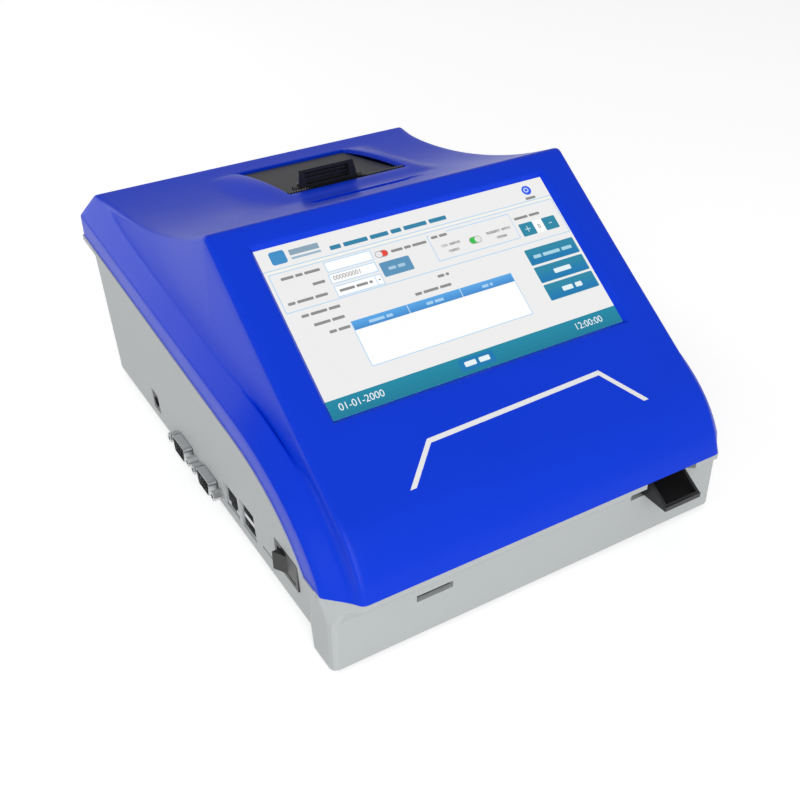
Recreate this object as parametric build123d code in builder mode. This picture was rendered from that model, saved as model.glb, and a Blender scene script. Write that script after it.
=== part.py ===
"""Benchtop rapid test reader: a blue cover over a light-grey base, with a sloping touch display,
a roll printer under a lid behind it, a sliding cassette tray in front and ports along the left side.

Millimetres. +X is the user's right, +Y the back, +Z up. The origin is on the table, under the middle
of the reader's footprint, tray included. Side views are drawn as (d, h): d forward of the casing's
back, h above the underside of the base.
"""
from build123d import *
import os
from math import atan2, cos, degrees, pi, radians, sin, sqrt, tan

os.makedirs("parts", exist_ok=True)

# ---- Driving sizes of the casing --------------------------------------------------------------
case_depth = 292.6          # back of the cover to its front edge
cover_half_width = 107.8    # outside of the cover's skirt
chamfer_half_width = 98.1   # inner line of the long side chamfer
deck_half_width = 95.5      # side edge of the deck and of the display panel
shell_wall = 2.5            # moulded wall of cover and base
foot_proud = 2.0            # rubber feet below the base
tray_proud = 6.8            # tray lip in front of the cover, as the reader stands waiting

deck_back_height = 108.4
deck_back_slope = 1.0       # degrees, the deck starts almost level
ridge_depth = 160.0         # the ridge where deck and panel meet
ridge_height = 147.6
panel_slope = 34.57         # degrees
bend_depth = case_depth - 20.6   # the panel bends down to the front edge from here
front_seam = 40.4           # height of the level seam across the front

knee_depth = case_depth - 94.6   # the side lines run straight to here, then curve down
chamfer_line = dict(back=108.3, knee=89.5, foot=case_depth - 4.1, steep=58)
skirt_line = dict(back=98.8, knee=81.7, foot=case_depth - 13.6, steep=64)
seam_line = dict(back=87.0, knee=70.2, foot=case_depth - 28.6, steep=50)

base_half_width = 102.0     # at the floor
side_draft = 2.2            # degrees, the side and back walls lean out
base_back_inset = 6.0       # back wall in front of the cover's back, at the floor
front_wall_depth = case_depth - 9.6    # front face of the base
front_half_width = 106.2    # the front stands wider than the side walls
flare_start, flare_end = front_wall_depth - 33.0, front_wall_depth - 17.0
cove_height = 26.0          # the front face turns out under the cover from here
lip_height = 37.0
lip_depth = case_depth - 0.6
corner_cut_x, corner_cut_depth = 97.8, lip_depth - 2.5
rim_half_width = 108.4      # bead under the cover's skirt
rim_band = 3.0
rim_drop = 10.5             # bead and the bevel under it

side_slack = 0.3            # between a moving piece and a flat face beside it
shaft_slack = 0.05          # radial, in a running bore
screw_slack = 0.1           # radial, screw in its hole

y_back = (case_depth + tray_proud) / 2


def back(d):
    return y_back - d


def up(h):
    return foot_proud + h


def at(d, h):
    return (back(d), up(h))


def save(builder, name):
    builder.part.label = name
    export_step(builder.part, f"parts/{name}.step")


def heading(angle):
    """Direction in a side view that runs forward and falls at this angle."""
    return (-cos(radians(angle)), -sin(radians(angle)))


def block(x0, x1, d0, d1, h0, h1, mode=Mode.ADD):
    """A square block between two corners, in the current part."""
    with Locations(((x0 + x1) / 2, back((d0 + d1) / 2), up((h0 + h1) / 2))):
        Box(abs(x1 - x0), abs(d1 - d0), abs(h1 - h0), mode=mode)


def rod_x(x0, x1, d, h, radius, mode=Mode.ADD):
    """A round bar along X, in the current part."""
    with BuildSketch(Plane((x0, back(d), up(h)), x_dir=(0, 1, 0), z_dir=(1, 0, 0))) as disc:
        Circle(radius)
    extrude(disc.sketch, amount=x1 - x0, mode=mode)


def rod_z(x, d, h0, h1, radius, mode=Mode.ADD):
    """A round bar along Z, in the current part."""
    with BuildSketch(Plane((x, back(d), up(h0)))) as disc:
        Circle(radius)
    extrude(disc.sketch, amount=h1 - h0, mode=mode)


# ---- Side lines that cover and base share -----------------------------------------------------
tail_drop = 8.0             # cover blocks are drawn this far below the seam, then trimmed


def side_points(line, drop=0.0, inset=0.0):
    """Back end, middle, knee and foot of a side line, lowered by drop and drawn inset inside."""
    fall = (line["back"] - line["knee"]) / knee_depth
    height = line["back"] - drop - inset
    return (at(inset, height - fall * inset), at(ridge_depth, height - fall * ridge_depth),
            at(knee_depth, line["knee"] - drop - inset), at(line["foot"] - inset, front_seam - drop))


def lean_of(line):
    return degrees(atan2(line["back"] - line["knee"], knee_depth))


def side_section(line, x, inset):
    """Closed side view of the cover at one of its side lines, x from the middle."""
    start, middle, knee, foot = side_points(line, inset=inset)
    end = (foot[0] - tail_drop / tan(radians(line["steep"])), foot[1] - tail_drop)
    with BuildSketch(Plane.YZ.offset(x)) as section:
        with BuildLine():
            Line(start, middle)
            Line(middle, knee)
            Spline([knee, foot], tangents=[heading(lean_of(line)), heading(line["steep"])])
            Line(foot, end)
            Polyline(end, (start[0], end[1]), start)
        make_face()
    return section.sketch


panel_lean = radians(panel_slope)
panel_normal = (-sin(panel_lean), cos(panel_lean))
deck_chord = atan2(ridge_height - deck_back_height, ridge_depth)
deck_end_lean = 2 * deck_chord - radians(deck_back_slope)
deck_end_normal = (sin(deck_end_lean), cos(deck_end_lean))
bend_height = ridge_height - (bend_depth - ridge_depth) * tan(panel_lean)
ridge_share = 1 + panel_normal[0] * deck_end_normal[0] + panel_normal[1] * deck_end_normal[1]


def deck_section(x, inset):
    """Closed side view of the cover along its middle: deck, panel and rounded front."""
    ridge = tuple(at(ridge_depth, ridge_height)[i]
                  - inset * (panel_normal[i] + deck_end_normal[i]) / ridge_share for i in (0, 1))
    start = at(inset, deck_back_height - inset)
    bend = tuple(at(bend_depth, bend_height)[i] - inset * panel_normal[i] for i in (0, 1))
    foot = at(case_depth - inset, front_seam)
    rise = radians(deck_back_slope)
    with BuildSketch(Plane.YZ.offset(x)) as section:
        with BuildLine():
            TangentArc(start, ridge, tangent=(-cos(rise), sin(rise)))
            Line(ridge, bend)
            front = TangentArc(bend, foot, tangent=heading(panel_slope))
            steep = front % 1
            end = (foot[0] + tail_drop * steep.X / abs(steep.Y), foot[1] - tail_drop)
            Line(foot, end)
            Polyline(end, (start[0], end[1]), start)
        make_face()
    return section.sketch


def cover_half(inset):
    """Right half of the cover's outer form, drawn inset inside it, in the current part."""
    extrude(deck_section(0, inset), amount=deck_half_width - inset)
    edge = deck_section(deck_half_width - inset, inset)
    shoulder = side_section(chamfer_line, chamfer_half_width - inset, inset)
    skirt = side_section(skirt_line, cover_half_width - inset, inset)
    loft([edge, shoulder], ruled=True)
    loft([shoulder, skirt], ruled=True)


# ---- Printer bay: door line and opening --------------------------------------------------------
bay_middle = 13.0           # the printer stands right of the middle
bay_width = 70.0
bay_back, bay_front = 16.5, 88.0
door_slope = 10.8           # degrees, rising to the front
door_line_depth, door_line_height = 17.3, 107.6
hump_back, hump_front = 14.0, 108.0
hump_half = 43.0            # flat of the raised island
hump_flank = 9.5            # its sloping sides, seen from above
hump_crown_depth, hump_crown_height = 62.0, 118.8
hump_back_height, hump_front_height = 109.0, 125.2
hump_drop = 5.0             # the flank falls this much, into the deck
groove_depth_back, groove_width, groove_sunk = 117.0, 8.5, 1.4

door_lean = radians(door_slope)
door_plane = Plane((bay_middle, back(door_line_depth), up(door_line_height)), x_dir=(1, 0, 0),
                   z_dir=(0, sin(door_lean), cos(door_lean)))


def door_at(t, n):
    """Side-view place (d, h) of a point t forward along the door's face and n above it."""
    return (door_line_depth + t * cos(door_lean) - n * sin(door_lean),
            door_line_height + t * sin(door_lean) + n * cos(door_lean))


def hump_section(x, drop, inset):
    """Closed side view of the raised island round the printer door."""
    crown = hump_crown_height - drop - inset
    floor = hump_back_height - drop - inset - 12.0
    first, last = hump_back + inset, hump_front - 3 * inset
    with BuildSketch(Plane.YZ.offset(x)) as section:
        with BuildLine():
            ThreePointArc(at(first, hump_back_height - drop - inset), at(hump_crown_depth, crown),
                          at(last, hump_front_height - drop - inset))
            Polyline(at(last, hump_front_height - drop - inset), at(last, floor), at(first, floor),
                     at(first, hump_back_height - drop - inset))
        make_face()
    return section.sketch


def hump_form(inset):
    """The raised island, drawn inset inside it, in the current part."""
    half = hump_half - inset
    top_left = hump_section(bay_middle - half, 0, inset)
    top_right = hump_section(bay_middle + half, 0, inset)
    extrude(top_left, amount=2 * half)
    loft([hump_section(bay_middle - half - hump_flank, hump_drop, inset), top_left], ruled=True)
    loft([top_right, hump_section(bay_middle + half + hump_flank, hump_drop, inset)], ruled=True)


# ---- Display: opening, glass and panel share one sloping plane --------------------------------
screen_width, screen_height = 154.4, 84.2       # seen through the cover
screen_recess = 2.5                             # glass below the panel's face
screen_bevel = 1.85                             # the opening's edges slope out this much
screen_middle = -54.4                           # below the ridge, along the slope
glass_width, glass_height, glass_thick = 164.0, 98.0, 1.5
lcd_width, lcd_height, lcd_thick = 165.0, 100.0, 5.0
bracket_thick = 1.2
bracket_ear_x = 87.5
bracket_ears = (46.0, 0.0, -46.0)               # from the screen's middle, up the slope
m25_radius, m25_head, m25_head_high = 1.25, 2.3, 1.7
m3_radius, m3_head, m3_head_high = 1.5, 2.75, 2.0

panel_plane = Plane((0, back(ridge_depth), up(ridge_height)), x_dir=(1, 0, 0),
                    z_dir=(0, -sin(panel_lean), cos(panel_lean)))
glass_back = -screen_recess - glass_thick
lcd_back = glass_back - lcd_thick
bracket_back = lcd_back - bracket_thick


def panel_disc(x, v, level):
    return Plane(panel_plane.from_local_coords((x, v, level)), x_dir=panel_plane.x_dir,
                 z_dir=panel_plane.z_dir)


def panel_rod(x, v, low, high, radius, mode=Mode.ADD):
    """A round bar square to the display panel, in the current part."""
    with BuildSketch(panel_disc(x, v, low)) as disc:
        Circle(radius)
    extrude(disc.sketch, amount=high - low, mode=mode)


def panel_plate(width, height, v, low, high, mode=Mode.ADD, x=0.0):
    """A flat rectangle parallel to the display panel, in the current part."""
    with BuildSketch(panel_disc(x, v, low)) as sheet:
        Rectangle(width, height)
    extrude(sheet.sketch, amount=high - low, mode=mode)


# ---- Printer bucket: hung from bosses under the cover ---------------------------------------------
bay_left, bay_right = bay_middle - bay_width / 2, bay_middle + bay_width / 2
bucket_wall = 2.0
bucket_screws_at = [(x, d) for x in (bay_left - 6.5, bay_right + 6.5) for d in (28.0, 60.0)]
bucket_ear_height = 100.0   # ears meet the cover's bosses here
frame_screw_length = 8.0    # bucket and tray guide


# ---- Case screws --------------------------------------------------------------------------------
case_screw_x = 90.5
case_screw_back, case_screw_front = 26.0, 264.0
back_joint_height, front_joint_height = 60.0, 40.4    # base and cover bosses meet here
case_screws_at = [(x, d, h) for d, h in ((case_screw_back, back_joint_height),
                                         (case_screw_front, front_joint_height))
                  for x in (-case_screw_x, case_screw_x)]
base_boss_radius, cover_boss_radius = 5.0, 4.0
boss_land = 6.0             # solid end of a base boss, above the screw's head
case_screw_length = 18.0
head_bore = m3_head + 0.6


def above_seam():
    """Everything above the seam between cover and base, as a side view."""
    start, middle, knee, foot = side_points(seam_line)
    with BuildSketch(Plane.YZ) as section:
        with BuildLine():
            Polyline(start, middle, knee)
            Spline([knee, foot], tangents=[heading(lean_of(seam_line)), heading(seam_line["steep"])])
            Polyline(foot, at(case_depth + 20, front_seam), at(case_depth + 20, ridge_height + 20),
                     at(-20, ridge_height + 20), (back(-20), start[1]), start)
        make_face()
    return section.sketch


with BuildPart() as cover_side:
    extrude(above_seam(), amount=cover_half_width + 20, both=True)

# ---- Top cover: moulded, screwed on from below --------------------------------------------------
with BuildPart() as cover_form:
    cover_half(0)
    mirror(about=Plane.YZ)
    hump_form(0)

with BuildPart() as cover_hollow:
    cover_half(shell_wall)
    mirror(about=Plane.YZ)
    hump_form(shell_wall)

with BuildPart() as cover_bosses:
    for x, d, h in case_screws_at:
        rod_z(x, d, h, ridge_height, cover_boss_radius)
    for x in (-bracket_ear_x, bracket_ear_x):
        for v in bracket_ears:
            panel_rod(x, screen_middle + v, lcd_back, -shell_wall / 2, cover_boss_radius - 1)
    for x, d in bucket_screws_at:
        rod_z(x, d, bucket_ear_height, ridge_height, cover_boss_radius - 0.5)
    add(cover_form.part, mode=Mode.INTERSECT)

with BuildPart() as top_cover:
    add(cover_form.part)
    add(cover_hollow.part, mode=Mode.SUBTRACT)
    add(cover_bosses.part)
    add(cover_side.part, mode=Mode.INTERSECT)
    for x, d, h in case_screws_at:
        rod_z(x, d, h - 1, h + case_screw_length - boss_land + 2, m3_radius + screw_slack, Mode.SUBTRACT)
    for x in (-bracket_ear_x, bracket_ear_x):
        for v in bracket_ears:
            panel_rod(x, screen_middle + v, lcd_back - 1, -screen_recess - 0.5, m25_radius + screw_slack,
                      Mode.SUBTRACT)
    for x, d in bucket_screws_at:
        rod_z(x, d, bucket_ear_height - 1, bucket_ear_height + frame_screw_length - 1, m3_radius + screw_slack,
              Mode.SUBTRACT)
    with BuildSketch(panel_disc(0, screen_middle, -screen_recess - 1)) as sight:
        Rectangle(screen_width, screen_height)
    with BuildSketch(panel_disc(0, screen_middle, 0)) as mouth:
        Rectangle(screen_width + 2 * screen_bevel, screen_height + 2 * screen_bevel)
    with BuildSketch(panel_disc(0, screen_middle, -screen_recess)) as rim:
        Rectangle(screen_width, screen_height)
    extrude(sight.sketch, amount=1, mode=Mode.SUBTRACT)
    loft([rim.sketch, mouth.sketch], ruled=True, mode=Mode.SUBTRACT)
    block(bay_left, bay_right, bay_back, bay_front, door_line_height - 20, ridge_height, Mode.SUBTRACT)
    groove_slope = radians(deck_back_slope) + 2 * (deck_chord - radians(deck_back_slope)) \
        * groove_depth_back / ridge_depth
    groove_height = deck_back_height + groove_depth_back * tan(
        (radians(deck_back_slope) + groove_slope) / 2)
    with BuildSketch(Plane((bay_middle, back(groove_depth_back), up(groove_height - groove_sunk)),
                           x_dir=(1, 0, 0), z_dir=(0, sin(groove_slope), cos(groove_slope)))) as groove:
        SlotOverall(2 * hump_half, groove_width)
    extrude(groove.sketch, amount=10, mode=Mode.SUBTRACT)
save(top_cover, "top_cover")

# ---- Base housing: moulded tub ------------------------------------------------------------------
floor_top = shell_wall
draft_rise = tan(radians(side_draft))
seat_height = seam_line["back"] + 6.0       # base walls are drawn to here, then cut along the seam
back_corner_radius = 3.0

board_low, board_thick = 6.4, 1.6           # main board on its posts
board_top = board_low + board_thick
board_left, board_right = -98.6, -34.0
board_back, board_front = 58.0, 250.0
board_screws_at = [(-92.0, 64.0), (-40.0, 64.0), (-78.0, 172.0), (-40.0, 158.0), (-40.0, 244.0),
                   (-92.0, 244.0)]
post_radius = 3.2

jack_back, jack_front, jack_low, jack_high = 66.6, 76.7, 8.0, 20.5
lan_back, lan_front, lan_high = 165.9, 182.1, 22.2
usb_back, usb_front, usb_high = 185.6, 201.4, 24.8
memory_back, memory_front, memory_low, memory_high = 208.7, 219.0, 11.5, 12.9
switch_back, switch_front, switch_low, switch_high = 225.3, 247.5, 15.2, 30.2
serial_height = 10.5
serial_middles = (115.7, 148.1)
jackscrew_pitch = 24.99
serial_shell_width, serial_shell_high = 17.4, 9.2
hole_slack = 0.3                            # round a connector in its wall hole

card_left, card_right, card_low, card_high = -65.0, -46.7, 19.3, 22.8
aperture_left, aperture_right, aperture_low = 52.3, 82.0, 23.8
foot_radius, foot_sunk = 8.0, 1.0
feet_at = [(x, d) for x in (-70.0, 70.0) for d in (24.0, 256.0)]

guide_low, guide_floor = 23.6, 2.1          # tray guide's plate, and its thickness
guide_posts_at = [(47.0, 182.0), (88.0, 182.0), (47.0, 268.0), (88.0, 243.0)]
card_posts_at = [(-74.5, 264.0), (-37.2, 264.0)]
card_shelf = 16.6
speaker_x, speaker_depth, speaker_radius, speaker_high = 58.0, 128.0, 14.0, 6.0


def base_outline(height, inset):
    """Plan of the base's drafted walls at one height."""
    grow = height * draft_rise
    half = base_half_width + grow - inset
    rear, front = back(base_back_inset - grow + inset), back(front_wall_depth - inset)
    with BuildSketch(Plane.XY.offset(up(height))) as outline:
        with Locations((0, (rear + front) / 2)):
            Rectangle(2 * half, rear - front)
    return outline.sketch


def front_outline(height, side, side_end, corner, nose):
    """Plan of the wider front at one height: half width, where the side ends, and two corners (x, d)."""
    right = [(base_half_width - 2, back(flare_start)), (side, back(flare_end)), (side, back(side_end)),
             (corner[0], back(corner[1])), (nose[0], back(nose[1]))]
    left = [(-x, y) for x, y in reversed(right)]
    with BuildSketch(Plane.XY.offset(up(height))) as outline:
        with BuildLine():
            Polyline(*right, *left, close=True)
        make_face()
    return outline.sketch


def rim_section(x, drop, bevel):
    """Closed side view of the rim under the cover, this far down from the seam."""
    start, middle, knee, foot = side_points(seam_line)
    low_start, low_middle, low_knee, low_foot = side_points(seam_line, drop=drop)
    front = back(flare_end + 8.0)
    with BuildSketch(Plane.YZ.offset(x)) as section:
        with BuildLine():
            Polyline(start, middle, knee)
            Spline([knee, foot], tangents=[heading(lean_of(seam_line)), heading(seam_line["steep"])])
            Polyline(foot, (front, foot[1]), (front, low_foot[1]), low_foot)
            Spline([low_knee, low_foot],
                   tangents=[heading(lean_of(seam_line)), heading(seam_line["steep"])])
            Polyline(low_knee, low_middle, (y_back - bevel, low_start[1]), (y_back, start[1] - rim_band + 0.2),
                     start)
        make_face()
    return section.sketch


with BuildPart() as base_form:
    loft([base_outline(0, 0), base_outline(seat_height, 0)], ruled=True)
    fillet([e for e in base_form.edges() if e.length > seat_height - 1 and e.center().Y > 0],
           back_corner_radius)
    rim_inner = base_half_width + (seam_line["back"] - rim_drop) * draft_rise - 0.4
    under = rim_section(0, rim_drop, base_back_inset - seam_line["back"] * draft_rise + 0.6)
    extrude(under, amount=rim_inner)
    loft([rim_section(rim_inner, rim_drop, base_back_inset - seam_line["back"] * draft_rise + 0.6),
          rim_section(rim_half_width, rim_band, 0.2)], ruled=True)
    mirror(about=Plane.YZ)
    toe = (front_half_width - 3.0, front_wall_depth)
    low = [front_outline(h, front_half_width, front_wall_depth - 3.0,
                         (front_half_width - 0.9, front_wall_depth - 0.9), toe) for h in (0, cove_height)]
    cove = front_outline((cove_height + lip_height) / 2 + 1.5, front_half_width + 0.7, 279.0, (102.4, 284.6),
                         (100.0, 285.6))
    lip = [front_outline(h, rim_half_width - 0.6, 277.6, (corner_cut_x, corner_cut_depth),
                         (corner_cut_x - 2.1, lip_depth)) for h in (lip_height, front_seam)]
    for pair in (low, (low[1], cove), (cove, lip[0]), lip):
        loft(list(pair), ruled=True)
    add(cover_side.part, mode=Mode.SUBTRACT)

inner_front = front_wall_depth - shell_wall
with BuildPart() as base_hollow:
    loft([base_outline(floor_top, shell_wall), base_outline(seat_height, shell_wall)], ruled=True)
    pocket = front_half_width - shell_wall
    block(-pocket, pocket, flare_end + 2, inner_front, floor_top, front_seam + 1)
    with BuildSketch(Plane.YZ) as shelf:
        with BuildLine():
            Polyline(at(inner_front - 1, cove_height + 3.5), at(inner_front + 1, cove_height + 3.5),
                     at(lip_depth - shell_wall, lip_height + 1), at(lip_depth - shell_wall, front_seam + 1),
                     at(inner_front - 1, front_seam + 1), close=True)
        make_face()
    extrude(shelf.sketch, amount=corner_cut_x - 3.8, both=True)

with BuildPart() as base_posts:
    for x, d, h in case_screws_at:
        rod_z(x, d, 0.5, h, base_boss_radius)
    for x, d in board_screws_at:
        rod_z(x, d, 1, board_low, post_radius)
    for x, d in guide_posts_at:
        rod_z(x, d, 1, guide_low, post_radius + 0.8)
    for x, d in card_posts_at:
        rod_z(x, d, 1, card_shelf, post_radius)
    rod_z(speaker_x, speaker_depth, 1, floor_top + speaker_high - 1.5, speaker_radius + 2)

with BuildPart() as base_openings:
    for x, d, h in case_screws_at:
        rod_z(x, d, -1, h - boss_land, head_bore)
        rod_z(x, d, h - boss_land - 1, h + 1, m3_radius + screw_slack)
    for x, d in board_screws_at:
        rod_z(x, d, floor_top - 1, board_low + 1, m25_radius + screw_slack)
    for x, d in guide_posts_at:
        rod_z(x, d, guide_low - 10, guide_low + 1, m3_radius + screw_slack)
    for x, d in card_posts_at:
        rod_z(x, d, card_shelf - 8, card_shelf + 1, m25_radius + screw_slack)
    rod_z(speaker_x, speaker_depth, floor_top, floor_top + speaker_high, speaker_radius + hole_slack)
    for turn in range(6):
        angle = radians(60 * turn)
        rod_z(speaker_x + 7 * cos(angle), speaker_depth + 7 * sin(angle), -1, floor_top + 1, 1.4)
    for x, d in feet_at:
        rod_z(x, d, -1, foot_sunk, foot_radius)
    # left wall: power, network, serial ports, memory card and switch
    outside, inside = -rim_half_width - 5, -base_half_width + shell_wall + 5
    block(outside, inside, jack_back, jack_front, jack_low - 0.1, jack_high)
    block(outside, inside, lan_back, lan_front, board_top - 0.1, lan_high)
    block(outside, inside, usb_back, usb_front, board_top - 0.1, usb_high)
    block(outside, inside, memory_back, memory_front, memory_low, memory_high)
    block(outside, inside, switch_back + 1.2, switch_front - 1.2, switch_low + 1.1, switch_high - 1.1)
    block(outside, -base_half_width - 0.5, switch_back - 0.1, switch_front + 0.1, switch_low - 0.1,
          switch_high + 0.1)
    for d in serial_middles:
        half_wide = serial_shell_width / 2 + hole_slack
        half_high = serial_shell_high / 2 + hole_slack
        block(outside, inside, d - half_wide, d + half_wide, serial_height - half_high, serial_height + half_high)
        for side in (-1, 1):
            rod_x(outside, inside, d + side * jackscrew_pitch / 2, serial_height, m3_radius + screw_slack)
    # front: card slot and the tray's way out
    block(card_left, card_right, inner_front - 1, front_wall_depth + 1, card_low, card_high)
    block(aperture_left, aperture_right, inner_front - 1, lip_depth + 5, aperture_low, front_seam + 1)

with BuildPart() as base_housing:
    add(base_form.part)
    add(base_hollow.part, mode=Mode.SUBTRACT)
    add(base_posts.part)
    add(base_openings.part, mode=Mode.SUBTRACT)
save(base_housing, "base_housing")

# ---- Feet and case screws -----------------------------------------------------------------------
with BuildPart() as rubber_feet:
    for x, d in feet_at:
        with BuildSketch(Plane((x, back(d), 0))) as sole:
            Circle(foot_radius - 1.2)
        with BuildSketch(Plane((x, back(d), foot_proud))) as shoulder:
            Circle(foot_radius - 0.1)
        loft([sole.sketch, shoulder.sketch])
        rod_z(x, d, 0, foot_sunk, foot_radius - 0.1)
save(rubber_feet, "rubber_feet")


def screw(x, d, seat, length, radius, head_radius, head_high, headward=1):
    """A pan-head screw along Z: its head rests on the seat height, on the side given by headward."""
    rod_z(x, d, min(seat, seat + headward * head_high), max(seat, seat + headward * head_high), head_radius)
    tip = seat - headward * length
    rod_z(x, d, min(seat, tip), max(seat, tip), radius)
    top = seat + headward * head_high
    block(x - head_radius * 0.6, x + head_radius * 0.6, d - 0.35, d + 0.35,
          top - headward * 0.8, top + headward * 0.2, Mode.SUBTRACT)


with BuildPart() as case_screws:
    for x, d, h in case_screws_at:
        screw(x, d, h - boss_land, case_screw_length, m3_radius, m3_head, m3_head_high, headward=-1)
save(case_screws, "case_screws")

# ---- Display stack --------------------------------------------------------------------------------
with BuildPart() as touch_panel:
    panel_plate(glass_width, glass_height, screen_middle, glass_back, -screen_recess)
save(touch_panel, "touch_panel")

with BuildPart() as lcd_module:
    panel_plate(lcd_width, lcd_height, screen_middle, lcd_back, glass_back)
    panel_plate(lcd_width - 10, lcd_height - 10, screen_middle, lcd_back - 1, lcd_back + 1.0, Mode.SUBTRACT)
save(lcd_module, "lcd_module")

controller_width, controller_height, controller_gap = 90.0, 52.0, 5.0
controller_x, controller_middle = -20.0, screen_middle + 4.0
controller_screws_at = [(controller_x + x, v) for x in (-41.0, 41.0) for v in (-22.0, 22.0)]
with BuildPart() as display_bracket:
    panel_plate(lcd_width, lcd_height, screen_middle, bracket_back, lcd_back)
    for x in (-bracket_ear_x, bracket_ear_x):
        for v in bracket_ears:
            panel_plate(11, 8, screen_middle + v, bracket_back, lcd_back, x=x * 86.5 / bracket_ear_x)
    for x, width in ((54.0, 40.0), (-74.0, 8.0)):
        panel_plate(width, 70, screen_middle, bracket_back - 1, lcd_back + 1, Mode.SUBTRACT, x=x)
    for x, v in controller_screws_at:
        panel_rod(x, controller_middle + v, bracket_back - controller_gap, bracket_back, post_radius - 0.4)
        panel_rod(x, controller_middle + v, bracket_back - controller_gap - 1, lcd_back + 1,
                  m25_radius + screw_slack, Mode.SUBTRACT)
    for x in (-bracket_ear_x, bracket_ear_x):
        for v in bracket_ears:
            panel_rod(x, screen_middle + v, bracket_back - 1, lcd_back + 1, m25_radius + screw_slack,
                      Mode.SUBTRACT)
save(display_bracket, "display_bracket")


def panel_screw(x, v, seat, length):
    """A pan-head screw square to the panel, its head on the inner side of the seat."""
    panel_rod(x, v, seat - m25_head_high, seat, m25_head)
    panel_rod(x, v, seat, seat + length, m25_radius)


controller_face = bracket_back - controller_gap
controller_back = controller_face - board_thick
ribbon_x, ribbon_width, ribbon_thick = -46.0, 20.0, 0.5
ribbon_socket_v = controller_middle - controller_height / 2 + 5.0
with BuildPart() as display_controller:
    panel_plate(controller_width, controller_height, controller_middle, controller_back, controller_face,
                x=controller_x)
    panel_plate(16, 16, controller_middle + 6, controller_back - 1.6, controller_back, x=controller_x)
    panel_plate(10, 7, controller_middle + 4, controller_back - 1.2, controller_back, x=controller_x + 24)
    panel_plate(ribbon_width + 3, 5, ribbon_socket_v, controller_back - 2.4, controller_back, x=ribbon_x)
    for x, v in controller_screws_at:
        panel_rod(x, controller_middle + v, controller_back - 1, controller_face + 1,
                  m25_radius + screw_slack, Mode.SUBTRACT)
save(display_controller, "display_controller")

display_screw_length = bracket_thick + 5.0
with BuildPart() as display_screws:
    for x in (-bracket_ear_x, bracket_ear_x):
        for v in bracket_ears:
            panel_screw(x, screen_middle + v, bracket_back, display_screw_length)
    for x, v in controller_screws_at:
        panel_screw(x, controller_middle + v, controller_back, display_screw_length)
save(display_screws, "display_screws")

# ---- Main board and its connectors ---------------------------------------------------------------
serial_notch_back = serial_middles[0] - 17.0
serial_notch_front = serial_middles[1] + 17.0
serial_notch_right = -86.5
ribbon_header_depth = 236.0
with BuildPart() as main_board:
    block(board_left, board_right, board_back, board_front, board_low, board_top)
    block(board_left - 1, serial_notch_right, serial_notch_back, serial_notch_front, board_low - 1,
          board_top + 1, Mode.SUBTRACT)
    for x, d in board_screws_at:
        rod_z(x, d, board_low - 1, board_top + 1, m25_radius + screw_slack, Mode.SUBTRACT)
save(main_board, "main_board")

heatsink_x, heatsink_depth, heatsink_width = -60.0, 128.0, 26.0
chip_high, fin_count = 1.8, 7
with BuildPart() as processor_chip:
    block(heatsink_x - 9, heatsink_x + 9, heatsink_depth - 9, heatsink_depth + 9, board_top, board_top + chip_high)
save(processor_chip, "processor_chip")

with BuildPart() as heatsink:
    half = heatsink_width / 2
    foot = board_top + chip_high
    block(heatsink_x - half, heatsink_x + half, heatsink_depth - half, heatsink_depth + half, foot, foot + 2)
    for i in range(fin_count):
        left = heatsink_x - half + i * (heatsink_width - 1.2) / (fin_count - 1)
        block(left, left + 1.2, heatsink_depth - half, heatsink_depth + half, foot + 1.5, foot + 9)
save(heatsink, "heatsink")

with BuildPart() as board_capacitors:
    for i, d in enumerate((78.0, 90.0, 102.0)):
        rod_z(-72.0, d, board_top, board_top + 11.0, 4.0)
        rod_z(-72.0, d, board_top + 10.6, board_top + 11.5, 3.0, Mode.SUBTRACT)
        block(-62, -55, d - 3, d + 3, board_top, board_top + 3.2)
save(board_capacitors, "board_capacitors")

coin_x, coin_depth, coin_radius, coin_thick = -52.0, 192.0, 10.0, 3.2
with BuildPart() as coin_cell_holder:
    rod_z(coin_x, coin_depth, board_top, board_top + 4.6, coin_radius + 2.0)
    rod_z(coin_x, coin_depth, board_top + 1.0, board_top + 5, coin_radius + 0.1, Mode.SUBTRACT)
    block(coin_x - 4, coin_x + 4, coin_depth - coin_radius - 3, coin_depth - coin_radius + 1,
          board_top + 1.0, board_top + 5, Mode.SUBTRACT)
save(coin_cell_holder, "coin_cell_holder")

with BuildPart() as coin_cell:
    rod_z(coin_x, coin_depth, board_top + 1.0, board_top + 1.0 + coin_thick, coin_radius)
save(coin_cell, "coin_cell")

header_high = 6.0
with BuildPart() as ribbon_header:
    block(ribbon_x - ribbon_width / 2 - 2, ribbon_x + ribbon_width / 2 + 2, ribbon_header_depth - 3,
          ribbon_header_depth + 3, board_top, board_top + header_high)
save(ribbon_header, "ribbon_header")

socket_level = controller_back - 2.4
ribbon_start = (ridge_depth - ribbon_socket_v * cos(panel_lean) + socket_level * sin(panel_lean),
                ridge_height + ribbon_socket_v * sin(panel_lean) + socket_level * cos(panel_lean))
ribbon_bend = (ribbon_start[0] - 4.0 * sin(panel_lean), ribbon_start[1] - 4.0 * cos(panel_lean))
with BuildPart() as display_ribbon:
    path = [ribbon_bend, (ribbon_header_depth, board_top + header_high + 12),
            (ribbon_header_depth, board_top + header_high)]
    half = ribbon_thick / 2
    fall = half * tan(panel_lean)
    with BuildSketch(Plane.YZ.offset(ribbon_x - ribbon_width / 2)) as strip:
        with BuildLine():
            Polyline(at(ribbon_start[0] - half, ribbon_start[1] + fall), *[at(d - half, h) for d, h in path],
                     *[at(d + half, h) for d, h in reversed(path)],
                     at(ribbon_start[0] + half, ribbon_start[1] - fall), close=True)
        make_face()
    extrude(strip.sketch, amount=ribbon_width)
save(display_ribbon, "display_ribbon")

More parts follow.
